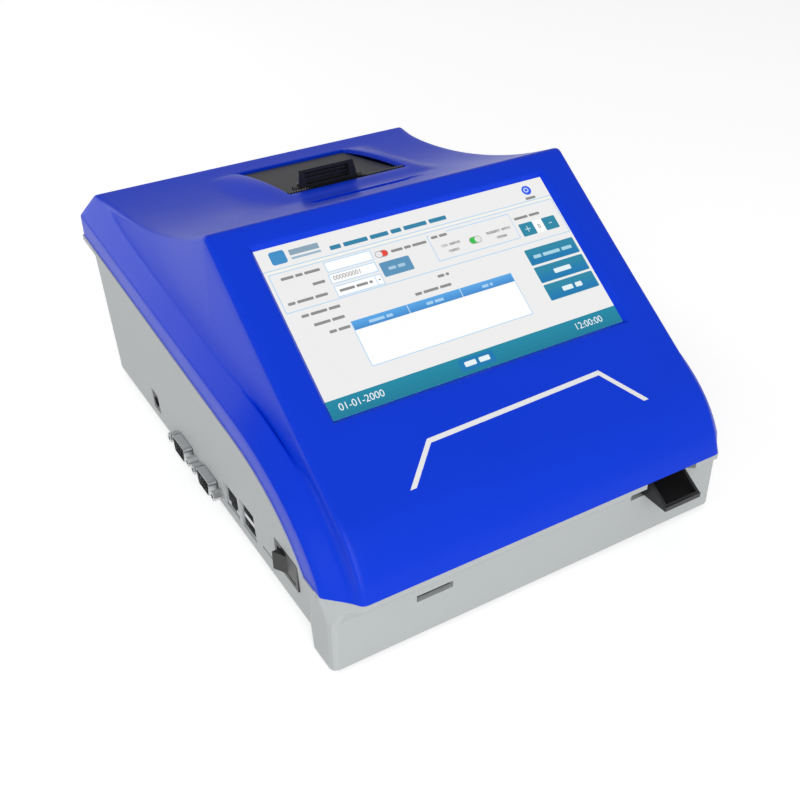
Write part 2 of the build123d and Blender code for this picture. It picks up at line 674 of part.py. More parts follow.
jack_face = -base_half_width - 0.2
jack_middle, jack_bore, jack_axis = (jack_back + jack_front) / 2, 3.2, board_top + 5.6
with BuildPart() as dc_jack:
    block(jack_face, jack_face + 14, jack_back + hole_slack, jack_front - hole_slack, board_top, jack_high - hole_slack)
    rod_x(jack_face - 1, jack_face + 10, jack_middle, jack_axis, jack_bore, Mode.SUBTRACT)
    rod_x(jack_face + 1, jack_face + 11, jack_middle, jack_axis, 1.05)
save(dc_jack, "dc_jack")

lan_face = -base_half_width + 0.4
lan_middle = (lan_back + lan_front) / 2
lan_socket = dict(width=11.8, high=8.0, deep=14.0, low=board_top + 3.4)
with BuildPart() as lan_jack:
    block(lan_face, lan_face + 21, lan_back + hole_slack, lan_front - hole_slack, board_top, lan_high - hole_slack)
    block(lan_face - 1, lan_face + lan_socket["deep"], lan_middle - lan_socket["width"] / 2,
          lan_middle + lan_socket["width"] / 2, lan_socket["low"], lan_socket["low"] + lan_socket["high"],
          Mode.SUBTRACT)
    block(lan_face - 1, lan_face + lan_socket["deep"], lan_middle - 3.2, lan_middle + 3.2,
          lan_socket["low"] - 2.0, lan_socket["low"] + 1, Mode.SUBTRACT)
    for i in range(8):
        d = lan_middle + (i - 3.5) * 1.02
        block(lan_face + 3, lan_face + lan_socket["deep"] + 0.5, d - 0.2, d + 0.2,
              lan_socket["low"] + lan_socket["high"] - 1.2, lan_socket["low"] + lan_socket["high"] + 0.2)
save(lan_jack, "lan_jack")

usb_face = -base_half_width + 0.4
usb_middle = (usb_back + usb_front) / 2
usb_socket = dict(width=12.6, high=5.2, deep=12.0, tongue=1.9)
usb_levels = (board_top + 1.6, board_top + 9.4)
with BuildPart() as usb_jack:
    block(usb_face, usb_face + 17.5, usb_back + hole_slack, usb_front - hole_slack, board_top,
          usb_high - hole_slack)
    for low in usb_levels:
        block(usb_face - 1, usb_face + usb_socket["deep"], usb_middle - usb_socket["width"] / 2,
              usb_middle + usb_socket["width"] / 2, low, low + usb_socket["high"], Mode.SUBTRACT)
        block(usb_face + 1.2, usb_face + usb_socket["deep"] + 0.5, usb_middle - usb_socket["width"] / 2 + 0.8,
              usb_middle + usb_socket["width"] / 2 - 0.8, low + usb_socket["high"] - usb_socket["tongue"] - 0.3,
              low + usb_socket["high"] - 0.3)
save(usb_jack, "usb_jack")

memory_face = -base_half_width + shell_wall + 0.4
with BuildPart() as memory_card_socket:
    block(memory_face, memory_face + 15, memory_back - 1.6, memory_front + 1.6, board_top, memory_high + 0.7)
    block(memory_face - 1, memory_face + 13.5, memory_back + 0.1, memory_front - 0.1, memory_low, memory_high,
          Mode.SUBTRACT)
save(memory_card_socket, "memory_card_socket")

serial_flange_face = -base_half_width + shell_wall - 0.1
serial_proud = 5.2          # shells stand out of the wall


def d_plane(x, d):
    return Plane((x, back(d), up(serial_height)), x_dir=(0, 1, 0), z_dir=(1, 0, 0))


def d_outline(x, d, inset):
    """The D shape of a serial connector, drawn inset inside the shell's outside."""
    half_wide, half_high = serial_shell_width / 2 - 0.4 - inset, serial_shell_high / 2 - inset
    with BuildSketch(d_plane(x, d)) as outline:
        with BuildLine():
            Polyline((-half_wide, half_high), (half_wide, half_high), (half_wide - 1.6, -half_high),
                     (1.6 - half_wide, -half_high), close=True)
        make_face()
        fillet(outline.vertices(), 1.6 - inset)
    return outline.sketch


serial_shell_face = -base_half_width - serial_proud
with BuildPart() as serial_shells:
    for d in serial_middles:
        extrude(d_outline(serial_shell_face, d, 0), amount=serial_flange_face - serial_shell_face + 0.5)
        block(serial_flange_face, serial_flange_face + 1.0, d - 15.4, d + 15.4, serial_height - 6.2,
              serial_height + 6.2)
        extrude(d_outline(serial_shell_face - 1, d, 0.5), amount=serial_flange_face - serial_shell_face + 4,
                mode=Mode.SUBTRACT)
        for side in (-1, 1):
            rod_x(serial_flange_face - 1, serial_flange_face + 2, d + side * jackscrew_pitch / 2, serial_height,
                  m3_radius + screw_slack, Mode.SUBTRACT)
save(serial_shells, "serial_shells")

with BuildPart() as serial_inserts:
    for d in serial_middles:
        extrude(d_outline(serial_flange_face - 4.0, d, 0.5), amount=5.0)
        block(serial_flange_face + 1.0, serial_flange_face + 9.0, d - 9.5, d + 9.5, serial_height - 4.6,
              serial_height + 4.6)
        for row, count in ((1.42, 5), (-1.42, 4)):
            for i in range(count):
                pin_depth = d + (i - (count - 1) / 2) * 2.77
                rod_x(serial_flange_face - 7.5, serial_flange_face - 3.5, pin_depth, serial_height + row, 0.5)
                rod_x(serial_flange_face + 8.5, serial_flange_face + 12.0, pin_depth, serial_height + row, 0.4)
save(serial_inserts, "serial_inserts")

with BuildPart() as serial_jackscrews:
    for d in serial_middles:
        for side in (-1, 1):
            place = d + side * jackscrew_pitch / 2
            wall_face = -base_half_width - (serial_height + 3) * draft_rise - 0.05
            with BuildSketch(Plane((wall_face - 5.0, back(place), up(serial_height)),
                                   x_dir=(0, 1, 0), z_dir=(1, 0, 0))) as hexagon:
                RegularPolygon(2.75, 6)
            extrude(hexagon.sketch, amount=5.0)
            rod_x(wall_face - 0.5, serial_flange_face + 3.0, place, serial_height, m3_radius)
            rod_x(wall_face - 6, wall_face - 1.0, place, serial_height, 1.3, Mode.SUBTRACT)
            with BuildSketch(Plane((serial_flange_face + 1.0, back(place), up(serial_height)),
                                   x_dir=(0, 1, 0), z_dir=(1, 0, 0))) as nut:
                RegularPolygon(2.75, 6)
            extrude(nut.sketch, amount=1.8)
save(serial_jackscrews, "serial_jackscrews")

# ---- Rocker switch --------------------------------------------------------------------------------
switch_middle = (switch_back + switch_front) / 2
switch_face = -base_half_width - 1.3
switch_land = -base_half_width - 0.5
rocker_pivot_x = -base_half_width + 1.0
rocker_half, rocker_wing, rocker_face = 7.4, 15.0, 2.2
rocker_low, rocker_high = switch_low + 2.5, switch_high - 2.5
cavity_half = rocker_half + 1.3
trunnion_radius = 1.2
with BuildPart() as switch_body:
    block(switch_face, switch_land, switch_back, switch_front, switch_low, switch_high)
    block(switch_land, switch_land + 18.5, switch_back + 1.3, switch_front - 1.3, switch_low + 1.2, switch_high - 1.2)
    block(switch_face - 1, switch_face + 10.5, switch_middle - cavity_half, switch_middle + cavity_half,
          rocker_low - side_slack, rocker_high + side_slack, Mode.SUBTRACT)
    rod_z(rocker_pivot_x, switch_middle, rocker_low - 1.1, rocker_high + 1.1, trunnion_radius + shaft_slack,
          Mode.SUBTRACT)
    for d in (switch_middle - 5.5, switch_middle, switch_middle + 5.5):
        block(switch_land + 18, switch_land + 25, d - 0.4, d + 0.4, switch_low + 4.8, switch_high - 4.8)
save(switch_body, "switch_body")

wing_rise = rocker_half * tan(radians(rocker_wing))
rocker_outline = [(-rocker_half, rocker_face + wing_rise), (0, rocker_face), (rocker_half, rocker_face + wing_rise),
                  (rocker_half - 1.6, -2.6), (0, -3.4), (-rocker_half + 1.6, -2.6)]
with BuildPart() as switch_rocker:
    turn = radians(rocker_wing)
    with BuildSketch(Plane((rocker_pivot_x, back(switch_middle), up(rocker_low)))) as wings:
        with BuildLine():
            Polyline(*[(-(w * cos(turn) + u * sin(turn)), u * cos(turn) - w * sin(turn))
                       for u, w in rocker_outline], close=True)
        make_face()
    extrude(wings.sketch, amount=rocker_high - rocker_low)
    rod_z(rocker_pivot_x, switch_middle, rocker_low - 1.0, rocker_high + 1.0, trunnion_radius)
save(switch_rocker, "switch_rocker")

# ---- Card reader behind the front slot -------------------------------------------------------------
reader_high = 26.4
with BuildPart() as id_card_reader:
    block(card_left - 5, card_right + 5, 257.0, inner_front - 0.2, card_shelf + 1.6, reader_high)
    block(card_posts_at[0][0] - 4, card_posts_at[1][0] + 4, 258.0, 270.0, card_shelf, card_shelf + 1.7)
    block(card_left - 0.1, card_right + 0.1, 262.0, inner_front + 1, card_low - 0.1, card_high + 0.1,
          Mode.SUBTRACT)
    for x, d in card_posts_at:
        rod_z(x, d, card_shelf - 1, card_shelf + 3, m25_radius + screw_slack, Mode.SUBTRACT)
save(id_card_reader, "id_card_reader")

# ---- Cassette tray, its guide and drive --------------------------------------------------------------
tray_left, tray_right, tray_low = 58.4, 79.7, 26.0
tray_wall, tray_floor = 1.5, 1.6
tray_top = 35.5
tray_length = 118.0
tray_tip = case_depth + tray_proud
tray_rear = tray_tip - tray_length
tray_lip = 2.5
cheek_start, cheek_end = 287.0, 298.6       # the side walls slope down between these
rack_module, pinion_teeth = 0.8, 16
rack_low, rack_high = 27.0, 31.5
rack_back, rack_front = 186.0, 276.0
rack_base = 1.7             # thickness behind the teeth
tooth_out, tooth_in = 0.9, 1.15             # in modules, from the pitch line
pitch_line_x = tray_left - rack_base - tooth_in * rack_module
pinion_radius = rack_module * pinion_teeth / 2
pinion_x, pinion_depth = pitch_line_x - pinion_radius, 246.0
with BuildPart() as test_tray:
    block(tray_left, tray_right, tray_rear, tray_tip, tray_low, tray_top)
    block(tray_left + tray_wall, tray_right - tray_wall, tray_rear + tray_wall, tray_tip - tray_wall,
          tray_low + tray_floor, tray_top + 1, Mode.SUBTRACT)
    with BuildSketch(Plane.YZ.offset(tray_left - 1)) as slope:
        with BuildLine():
            Polyline(at(cheek_start, tray_top), at(cheek_start, tray_top + 1), at(tray_tip + 1, tray_top + 1),
                     at(tray_tip + 1, tray_low + tray_lip), at(cheek_end, tray_low + tray_lip), close=True)
        make_face()
    extrude(slope.sketch, amount=tray_right - tray_left + 2, mode=Mode.SUBTRACT)
    flag_x = (tray_left + tray_right) / 2
    block(flag_x - 0.6, flag_x + 0.6, tray_rear - 6, tray_rear + 0.5, tray_low + 1, tray_low + 7)
save(test_tray, "test_tray")


def tooth_points(count, module, phase):
    """Corners of a spur gear's outline with straight-sided teeth, phase in degrees to one tooth."""
    radius = count * module / 2
    tip, root = radius + tooth_out * module, radius - tooth_in * module
    pitch = 360 / count
    points = []
    for i in range(count):
        middle = phase + i * pitch
        for share, reach in ((-0.32, root), (-0.11, tip), (0.11, tip), (0.32, root)):
            angle = radians(middle + share * pitch)
            points.append((reach * cos(angle), reach * sin(angle)))
    return points


def mating_phase(count, phase, direction, other_count):
    """Phase of a second gear that meshes with a first one, direction in degrees from first to second."""
    share = (direction - phase) / (360 / count)
    share -= int(share // 1)
    return direction + 180 - (0.5 - share) * 360 / other_count


rack_pitch = pi * rack_module
with BuildPart() as tray_rack:
    block(tray_left - rack_base, tray_left, rack_back, rack_front, rack_low, rack_high)
    valley = pinion_depth - rack_pitch * int((pinion_depth - rack_back) / rack_pitch)
    teeth = int((rack_front - valley) / rack_pitch)
    root_x = tray_left - rack_base
    tip_x = pitch_line_x - tooth_out * rack_module
    with BuildSketch(Plane.XY.offset(up(rack_low))) as teeth_outline:
        for i in range(teeth):
            middle = valley + (i + 0.5) * rack_pitch
            with BuildLine():
                Polyline((root_x + 0.3, back(middle - 0.32 * rack_pitch)), (root_x, back(middle - 0.32 * rack_pitch)),
                         (tip_x, back(middle - 0.11 * rack_pitch)), (tip_x, back(middle + 0.11 * rack_pitch)),
                         (root_x, back(middle + 0.32 * rack_pitch)),
                         (root_x + 0.3, back(middle + 0.32 * rack_pitch)), close=True)
            make_face()
    extrude(teeth_outline.sketch, amount=rack_high - rack_low)
save(tray_rack, "tray_rack")

pinion_low, pinion_high = rack_low + 0.2, rack_high - 0.2
motor_low, motor_radius = 5.6, 10.0
motor_top = guide_low
drive_shaft_radius = 1.0
with BuildPart() as tray_pinion:
    with BuildSketch(Plane((pinion_x, back(pinion_depth), up(pinion_low)))) as pinion_outline:
        with BuildLine():
            Polyline(*tooth_points(pinion_teeth, rack_module, 0), close=True)
        make_face()
    extrude(pinion_outline.sketch, amount=pinion_high - pinion_low)
    rod_z(pinion_x, pinion_depth, motor_top - 9, pinion_high, drive_shaft_radius)
save(tray_pinion, "tray_pinion")

motor_ear = motor_radius + 3.0
motor_screws_at = [(pinion_x, pinion_depth - motor_ear), (pinion_x, pinion_depth + motor_ear)]
with BuildPart() as tray_motor:
    rod_z(pinion_x, pinion_depth, motor_low, motor_top, motor_radius)
    with BuildSketch(Plane((pinion_x, back(pinion_depth), up(motor_top - 0.8)), x_dir=(0, 1, 0),
                           z_dir=(0, 0, 1))) as flange:
        SlotCenterToCenter(2 * motor_ear, 7.0)
    extrude(flange.sketch, amount=0.8)
    rod_z(pinion_x, pinion_depth, motor_top - 10, motor_top + 1, drive_shaft_radius + shaft_slack, Mode.SUBTRACT)
    block(pinion_x - 9, pinion_x - motor_radius - 3, pinion_depth - 4, pinion_depth + 4, motor_low + 1,
          motor_low + 7)
    for x, d in motor_screws_at:
        rod_z(x, d, motor_top - 2, motor_top + 1, m25_radius + screw_slack, Mode.SUBTRACT)
save(tray_motor, "tray_motor")

guide_back, guide_front = 158.0, inner_front - 0.7
guide_left, guide_right = 52.4, tray_right + side_slack + 2.2
guide_top = tray_low + 13.0
hold_down = tray_top + side_slack
plate_top = guide_low + guide_floor
head_posts_at = [(x, d) for x in (49.3, 88.4) for d in (204.0, 226.0)]
with BuildPart() as tray_guide:
    block(guide_left, guide_right, guide_back, guide_front, guide_low, plate_top)
    for x, d in guide_posts_at:
        edge = guide_left + 1 if x < guide_left else guide_right - 1
        block(min(x, edge), max(x, edge), d - 4.5, d + 4.5, guide_low, plate_top)
        rod_z(x, d, guide_low, plate_top, 4.5)
    block(pinion_x - 8, guide_left + 1, pinion_depth - motor_ear - 3.5, pinion_depth + motor_ear + 3.5,
          guide_low, plate_top)
    block(guide_right - 2.2, guide_right, 172.0, guide_front, guide_low + 0.1, guide_top)
    block(guide_right - 2.2 - side_slack - tray_wall + 0.4, guide_right - 2.1, 172.0, 274.0, hold_down,
          hold_down + 1.5)
    for first, last in ((172.0, pinion_depth - 9.5), (pinion_depth + 9.5, guide_front)):
        block(guide_left, guide_left + 2.2, first, last, guide_low + 0.1, guide_top)
        block(guide_left + 2.1, tray_left + tray_wall - 0.4, first, min(last, 274.0), hold_down, hold_down + 1.5)
    for x, d in head_posts_at:
        edge = guide_left + 1 if x < guide_left else guide_right - 1
        block(min(x, edge), max(x, edge), d - 3.0, d + 3.0, guide_low, guide_top - 2)
        rod_z(x, d, guide_low, guide_top, 3.4)
        rod_z(x, d, guide_top - 9, guide_top + 1, m25_radius + screw_slack, Mode.SUBTRACT)
    for x, d in guide_posts_at:
        rod_z(x, d, guide_low - 1, plate_top + 1, m3_radius + screw_slack, Mode.SUBTRACT)
    rod_z(pinion_x, pinion_depth, guide_low - 1, plate_top + 1, 4.0, Mode.SUBTRACT)
    for x, d in motor_screws_at:
        rod_z(x, d, guide_low - 1, plate_top + 1, m25_radius + screw_slack, Mode.SUBTRACT)
save(tray_guide, "tray_guide")

with BuildPart() as tray_clip:
    clip_x, clip_rear = tray_left + tray_wall, tray_tip - 18.4
    with BuildSketch(Plane.XY.offset(up(tray_low + tray_floor + 1.2))) as leaf:
        with BuildLine():
            Polyline((clip_x, back(clip_rear)), (clip_x + 0.4, back(clip_rear)),
                     (clip_x + 0.4, back(clip_rear + 5.0)), (clip_x + 2.2, back(clip_rear + 9.0)),
                     (clip_x + 1.9, back(clip_rear + 9.3)), (clip_x, back(clip_rear + 5.2)), close=True)
        make_face()
    extrude(leaf.sketch, amount=2.4)
save(tray_clip, "tray_clip")

sensor_slot = 3.2
with BuildPart() as home_sensor:
    block(flag_x - 6, flag_x + 6, guide_back + 1, 168.7, plate_top, plate_top + 10)
    block(flag_x - sensor_slot / 2, flag_x + sensor_slot / 2, guide_back + 4, 171, plate_top + 1.0, plate_top + 11,
          Mode.SUBTRACT)
save(home_sensor, "home_sensor")

# ---- Optical head over the tray -----------------------------------------------------------------------
head_back, head_front = 200.0, 230.0
head_foot, head_high, lamp_face_low = 3.0, 61.0, 44.4
lamp_angle = 45.0
lamp_bore = 2.6
spot_height = tray_low + 5.0
spot_depth = (head_back + head_front) / 2 - 2.0
lamp_start, lamp_stop = 12.0, 25.5          # along the lamp's axis from the cassette's surface
lens_radius, lens_thick = 4.6, 3.0
lens_seat = guide_top + 5.0
lamp_direction = (0, -sin(radians(lamp_angle)), cos(radians(lamp_angle)))


def lamp_plane(distance):
    return Plane((flag_x, back(spot_depth) + lamp_direction[1] * distance, up(spot_height) + lamp_direction[2] * distance),
                 x_dir=(1, 0, 0), z_dir=lamp_direction)


with BuildPart() as optical_head:
    block(head_posts_at[0][0] - 3.4, head_posts_at[-1][0] + 3.4, head_back, head_front, guide_top, guide_top + head_foot)
    face_sum = spot_depth + spot_height + lamp_stop * sqrt(2)
    with BuildSketch(Plane.YZ.offset(flag_x - 14)) as side:
        with BuildLine():
            Polyline(at(head_back, guide_top), at(face_sum - lamp_face_low, guide_top),
                     at(face_sum - lamp_face_low, lamp_face_low), at(face_sum - head_high, head_high),
                     at(head_back, head_high), close=True)
        make_face()
    extrude(side.sketch, amount=28)
    rod_z(flag_x, spot_depth, guide_top - 1, lens_seat, lens_radius - 0.8, Mode.SUBTRACT)
    rod_z(flag_x, spot_depth, lens_seat, head_high + 1, lens_radius + 0.05, Mode.SUBTRACT)
    with BuildSketch(lamp_plane(lamp_start - 6)) as lamp_hole:
        Circle(lamp_bore)
    extrude(lamp_hole.sketch, amount=lamp_stop, mode=Mode.SUBTRACT)
    for x, d in head_posts_at:
        rod_z(x, d, guide_top - 1, guide_top + head_foot + 1, m25_radius + screw_slack, Mode.SUBTRACT)
save(optical_head, "optical_head")

with BuildPart() as head_screws:
    for x, d in head_posts_at:
        screw(x, d, guide_top + head_foot, head_foot + 7.0, m25_radius, m25_head, m25_head_high)
save(head_screws, "head_screws")

lens_dome = 7.8             # radius of its upper face
with BuildPart() as objective_lens:
    rod_z(flag_x, spot_depth, lens_seat, lens_seat + lens_thick, lens_radius)
    with Locations((flag_x, back(spot_depth), up(lens_seat + lens_thick - lens_dome))):
        Sphere(lens_dome, mode=Mode.INTERSECT)
save(objective_lens, "objective_lens")

with BuildPart() as detector_board:
    block(flag_x - 14, flag_x + 14, head_back, spot_depth + 5.5, head_high, head_high + board_thick)
    rod_z(flag_x, spot_depth, head_high - 4, head_high + 0.5, 3.9)
save(detector_board, "detector_board")

with BuildPart() as lamp_board:
    with BuildSketch(lamp_plane(lamp_stop)) as lamp_plate:
        Rectangle(20, 13)
    extrude(lamp_plate.sketch, amount=board_thick)
    with BuildSketch(lamp_plane(lamp_stop - 8)) as lamp_body:
        Circle(lamp_bore - 0.1)
    extrude(lamp_body.sketch, amount=8.5)
save(lamp_board, "lamp_board")

# ---- Loudspeaker ----------------------------------------------------------------------------------------
with BuildPart() as speaker:
    rod_z(speaker_x, speaker_depth, floor_top, floor_top + 3.0, speaker_radius)
    rod_z(speaker_x, speaker_depth, floor_top + 2.5, floor_top + speaker_high, speaker_radius * 0.62)
    rod_z(speaker_x, speaker_depth, floor_top - 1, floor_top + 1.5, speaker_radius - 2, Mode.SUBTRACT)
save(speaker, "speaker")

# ---- Printer: bucket, roll, print head and drive ---------------------------------------------------
rim_side, rim_back, rim_front = -1.4, 106.0, 117.5     # side rim below the door's face; heights
hollow_depth, hollow_height, hollow_radius = 43.0, 84.0, 28.5
ledge_back, ledge_height = 71.5, 88.0
bucket_rear, bucket_front, bucket_front_wall = 14.5, 91.5, 3.0
hinge_t, hinge_n, hinge_radius, hinge_pin_radius = 3.3, -3.2, 3.0, 1.0
platen_t, platen_n, platen_radius, platen_shaft_radius = 64.0, -8.0, 4.5, 2.0
hinge_depth, hinge_height = door_at(hinge_t, hinge_n)
platen_depth, platen_height = door_at(platen_t, platen_n)
gear_module, platen_teeth, idler_teeth, motor_teeth = 0.5, 20, 30, 12
idler_heading, motor_heading = -125.0, -45.0           # from platen to idler, from idler to motor; 0 forward, 90 up
gear_left, gear_thick = bay_right - 2.9, 2.4
printer_motor_radius, printer_motor_long = 9.0, 14.0
head_top = platen_height - platen_radius - 0.1
head_posts = [(-8.0, 80.0), (34.0, 80.0)]
roll_radius, roll_width, roll_core = 25.0, 57.0, 6.5


def onward(depth, height, angle, distance):
    """The place at this distance from another in the side view; angle 0 is forward, 90 is up."""
    return depth + distance * cos(radians(angle)), height + distance * sin(radians(angle))


idler_depth, idler_height = onward(platen_depth, platen_height, idler_heading,
                                   gear_module * (platen_teeth + idler_teeth) / 2)
drive_depth, drive_height = onward(idler_depth, idler_height, motor_heading,
                                   gear_module * (idler_teeth + motor_teeth) / 2)
motor_ear_turn = 105.0
motor_ears_at = [onward(drive_depth, drive_height, angle, 11.6) for angle in (motor_ear_turn, motor_ear_turn + 180)]
tear_screws_at = [(bay_middle + x, bucket_front - 1.1) for x in (-26.0, 26.0)]


def bucket_section(x, inset, open_top=None):
    """Closed side view of the bucket, drawn inset inside it, up to its rim or to a level open top."""
    hollow = hollow_radius - inset
    arc_back, arc_front = hollow_depth - hollow, hollow_depth + hollow
    front = bucket_front - (bucket_front_wall if inset else 0)
    rim = [door_at(t, rim_side) for t in (70.0, 0.6)]
    edge = [(front, rim_front), (rim[0][0], rim_front), *rim, (rim[1][0], rim_back), (arc_back, rim_back)]
    if open_top:
        edge = [(front, open_top), (arc_back, open_top)]
    with BuildSketch(Plane.YZ.offset(x)) as section:
        with BuildLine():
            ThreePointArc(at(arc_back, hollow_height), at(hollow_depth, hollow_height - hollow),
                          at(arc_front, hollow_height))
            Polyline(at(arc_front, hollow_height), at(arc_front, ledge_height + inset),
                     at(front, ledge_height + inset), *[at(*point) for point in edge], at(arc_back, hollow_height))
        make_face()
    return section.sketch


with BuildPart() as printer_bucket:
    extrude(bucket_section(bay_left - bucket_wall, 0), amount=bay_width + 2 * bucket_wall)
    block(bay_right, bay_right + bucket_wall, 66.0, bucket_front, 79.5, 100.0)
    for x, d in bucket_screws_at:
        edge = bay_left - bucket_wall + 0.5 if x < bay_middle else bay_right + bucket_wall - 0.5
        block(min(x, edge), max(x, edge), d - 4, d + 4, bucket_ear_height - 2.5, bucket_ear_height)
        rod_z(x, d, bucket_ear_height - 2.5, bucket_ear_height, 4)
    extrude(bucket_section(bay_left, bucket_wall, open_top=ridge_height), amount=bay_width, mode=Mode.SUBTRACT)
    for x, d in tear_screws_at:
        rod_z(x, d, ledge_height, rim_front, 2.6)
    for x, d in head_posts:
        rod_z(x, d, ledge_height + 1, head_top - 2.2, platen_shaft_radius)
    rod_x(gear_left + 0.2, bay_right + 0.5, idler_depth, idler_height, 1.0)
    rod_x(bay_right - 0.3, bay_right + 0.5, idler_depth, idler_height, 2.2)
    for x, d in bucket_screws_at:
        rod_z(x, d, bucket_ear_height - 4, bucket_ear_height + 1, m3_radius + screw_slack, Mode.SUBTRACT)
    rod_x(bay_left - bucket_wall - 1, bay_right + bucket_wall + 1, hinge_depth, hinge_height,
          hinge_pin_radius + 0.02, Mode.SUBTRACT)
    rod_x(bay_right - 1, bay_right + bucket_wall + 1, drive_depth, drive_height, 2.0, Mode.SUBTRACT)
    for d, h in motor_ears_at:
        rod_x(bay_right - 1, bay_right + bucket_wall + 1, d, h, m25_radius + screw_slack, Mode.SUBTRACT)
    for x, d in tear_screws_at:
        rod_z(x, d, rim_front - 6, rim_front + 1, m25_radius + screw_slack, Mode.SUBTRACT)
save(printer_bucket, "printer_bucket")

with BuildPart() as paper_roll:
    rod_x(bay_middle - roll_width / 2, bay_middle + roll_width / 2, hollow_depth,
          hollow_height - hollow_radius + bucket_wall + roll_radius + 0.3, roll_radius)
    rod_x(bay_middle - roll_width / 2 - 1, bay_middle + roll_width / 2 + 1, hollow_depth,
          hollow_height - hollow_radius + bucket_wall + roll_radius + 0.3, roll_core, Mode.SUBTRACT)
save(paper_roll, "paper_roll")

door_half, door_thick, door_start, door_end = 34.6, 2.2, 0.4, 69.4
platen_ears = (bay_left + 2.5, bay_right - 5.5)         # left faces of the two ears under the door
ear_thick, ear_radius = 2.0, 3.4
lever_middle, lever_t, lever_n = 4.2, 66.2, 2.0
lever_barrel, lever_pin_radius = 1.3, 0.7
lever_ear_in, lever_ear_out = 17.4, 20.0                # from the lever's middle
lever_half_foot = lever_ear_in - side_slack
bush_radius = 2.6


def door_section(x, points):
    """Closed side view through points (t, n) of the door's own frame."""
    with BuildSketch(Plane.YZ.offset(x)) as section:
        with BuildLine():
            Polyline(*[at(*door_at(t, n)) for t, n in points], close=True)
        make_face()
    return section.sketch


with BuildPart() as printer_door:
    extrude(door_section(bay_middle - door_half, [(door_start, 0), (door_end, 0), (door_end, -door_thick),
                                                  (door_start + 1, -door_thick)]), amount=2 * door_half)
    rod_x(bay_middle - door_half, bay_middle + door_half, hinge_depth, hinge_height, hinge_radius)
    for left in platen_ears:
        extrude(door_section(left, [(platen_t - ear_radius, -1), (platen_t + ear_radius, -1),
                                    (platen_t + ear_radius, platen_n), (platen_t - ear_radius, platen_n)]),
                amount=ear_thick)
        rod_x(left, left + ear_thick, platen_depth, platen_height, ear_radius)
    for side in (-1, 1):
        inner = lever_middle + side * lever_ear_in
        outer = lever_middle + side * lever_ear_out
        extrude(door_section(min(inner, outer), [(lever_t - 2.4, -0.5), (lever_t + 2.4, -0.5),
                                                 (lever_t + 1.4, lever_n + 1.2), (lever_t - 1.4, lever_n + 1.2)]),
                amount=lever_ear_out - lever_ear_in)
    rod_x(bay_middle - door_half - 1, bay_middle + door_half + 1, hinge_depth, hinge_height,
          hinge_pin_radius + shaft_slack, Mode.SUBTRACT)
    for left in platen_ears:
        rod_x(left - 1, left + ear_thick + 1, platen_depth, platen_height, bush_radius, Mode.SUBTRACT)
    rod_x(lever_middle - lever_ear_out - 1, lever_middle + lever_ear_out + 1, *door_at(lever_t, lever_n),
          lever_pin_radius + 0.02, Mode.SUBTRACT)
save(printer_door, "printer_door")

with BuildPart() as door_hinge_pin:
    rod_x(bay_left - bucket_wall, bay_right + bucket_wall, hinge_depth, hinge_height, hinge_pin_radius)
save(door_hinge_pin, "door_hinge_pin")

lever_face_t, lever_lean = 68.2, 1.2        # front of the ring at its foot, and how far its top leans back
lever_low, lever_high = 1.0, 11.0           # above the lid
lever_ring = [(16.0, lever_high), (16.8, 5.0), (16.8, lever_low)]       # right half: x, n
lever_waist = [(13.5, 9.6), (17.0, 3.6), (16.8, lever_low)]
lever_tail = [(12.0, 6.4), (13.6, 3.4), (12.5, lever_low)]
waist_t, tail_t = 64.6, 57.5
mouth_half, mouth_low, mouth_high, mouth_deep = 12.9, 3.4, 9.4, 5.0
rib_lows, rib_thick, rib_deep = (5.0, 7.0), 1.0, 3.2


def lever_face(half_outline, t, lean):
    """Outline of the lever square to the lid's slope, leaning back by lean at its top."""
    plane = Plane((lever_middle, *at(*door_at(t, 0))), x_dir=(1, 0, 0),
                  z_dir=(0, -cos(door_lean + lean), sin(door_lean + lean)))
    right = list(half_outline)
    left = [(-x, n) for x, n in reversed(right)]
    with BuildSketch(plane) as face:
        with BuildLine():
            Polyline(*right, *left, close=True)
        make_face()
    return face.sketch


with BuildPart() as printer_lever:
    tilt = lever_lean / lever_high
    ring = lever_face(lever_ring, lever_face_t, tilt)
    waist = lever_face(lever_waist, waist_t, tilt)
    loft([ring, waist], ruled=True)
    loft([waist, lever_face(lever_tail, tail_t, tilt)], ruled=True)
    mouth = [(mouth_half, mouth_high), (mouth_half, mouth_low)]
    extrude(lever_face(mouth, lever_face_t + 0.5, tilt), amount=-mouth_deep - 0.5, mode=Mode.SUBTRACT)
    for low in rib_lows:
        rib = [(mouth_half, low + rib_thick), (mouth_half, low)]
        extrude(lever_face(rib, lever_face_t - mouth_deep - 0.2, tilt), amount=rib_deep)
    rod_x(lever_middle - lever_half_foot, lever_middle + lever_half_foot, *door_at(lever_t, lever_n), lever_barrel)
    rod_x(lever_middle - lever_half_foot - 1, lever_middle + lever_half_foot + 1, *door_at(lever_t, lever_n),
          lever_pin_radius + shaft_slack, Mode.SUBTRACT)
save(printer_lever, "printer_lever")

with BuildPart() as lever_pin:
    rod_x(lever_middle - lever_ear_out, lever_middle + lever_ear_out, *door_at(lever_t, lever_n),
          lever_pin_radius)
save(lever_pin, "lever_pin")

rubber_left, rubber_right = bay_middle - 29, bay_middle + 29
with BuildPart() as platen_shaft:
    rod_x(platen_ears[0] - 0.4, gear_left + gear_thick, platen_depth, platen_height, platen_shaft_radius)
save(platen_shaft, "platen_shaft")

with BuildPart() as platen_rubber:
    rod_x(rubber_left, rubber_right, platen_depth, platen_height, platen_radius)
    rod_x(rubber_left - 1, rubber_right + 1, platen_depth, platen_height, platen_shaft_radius, Mode.SUBTRACT)
save(platen_rubber, "platen_rubber")

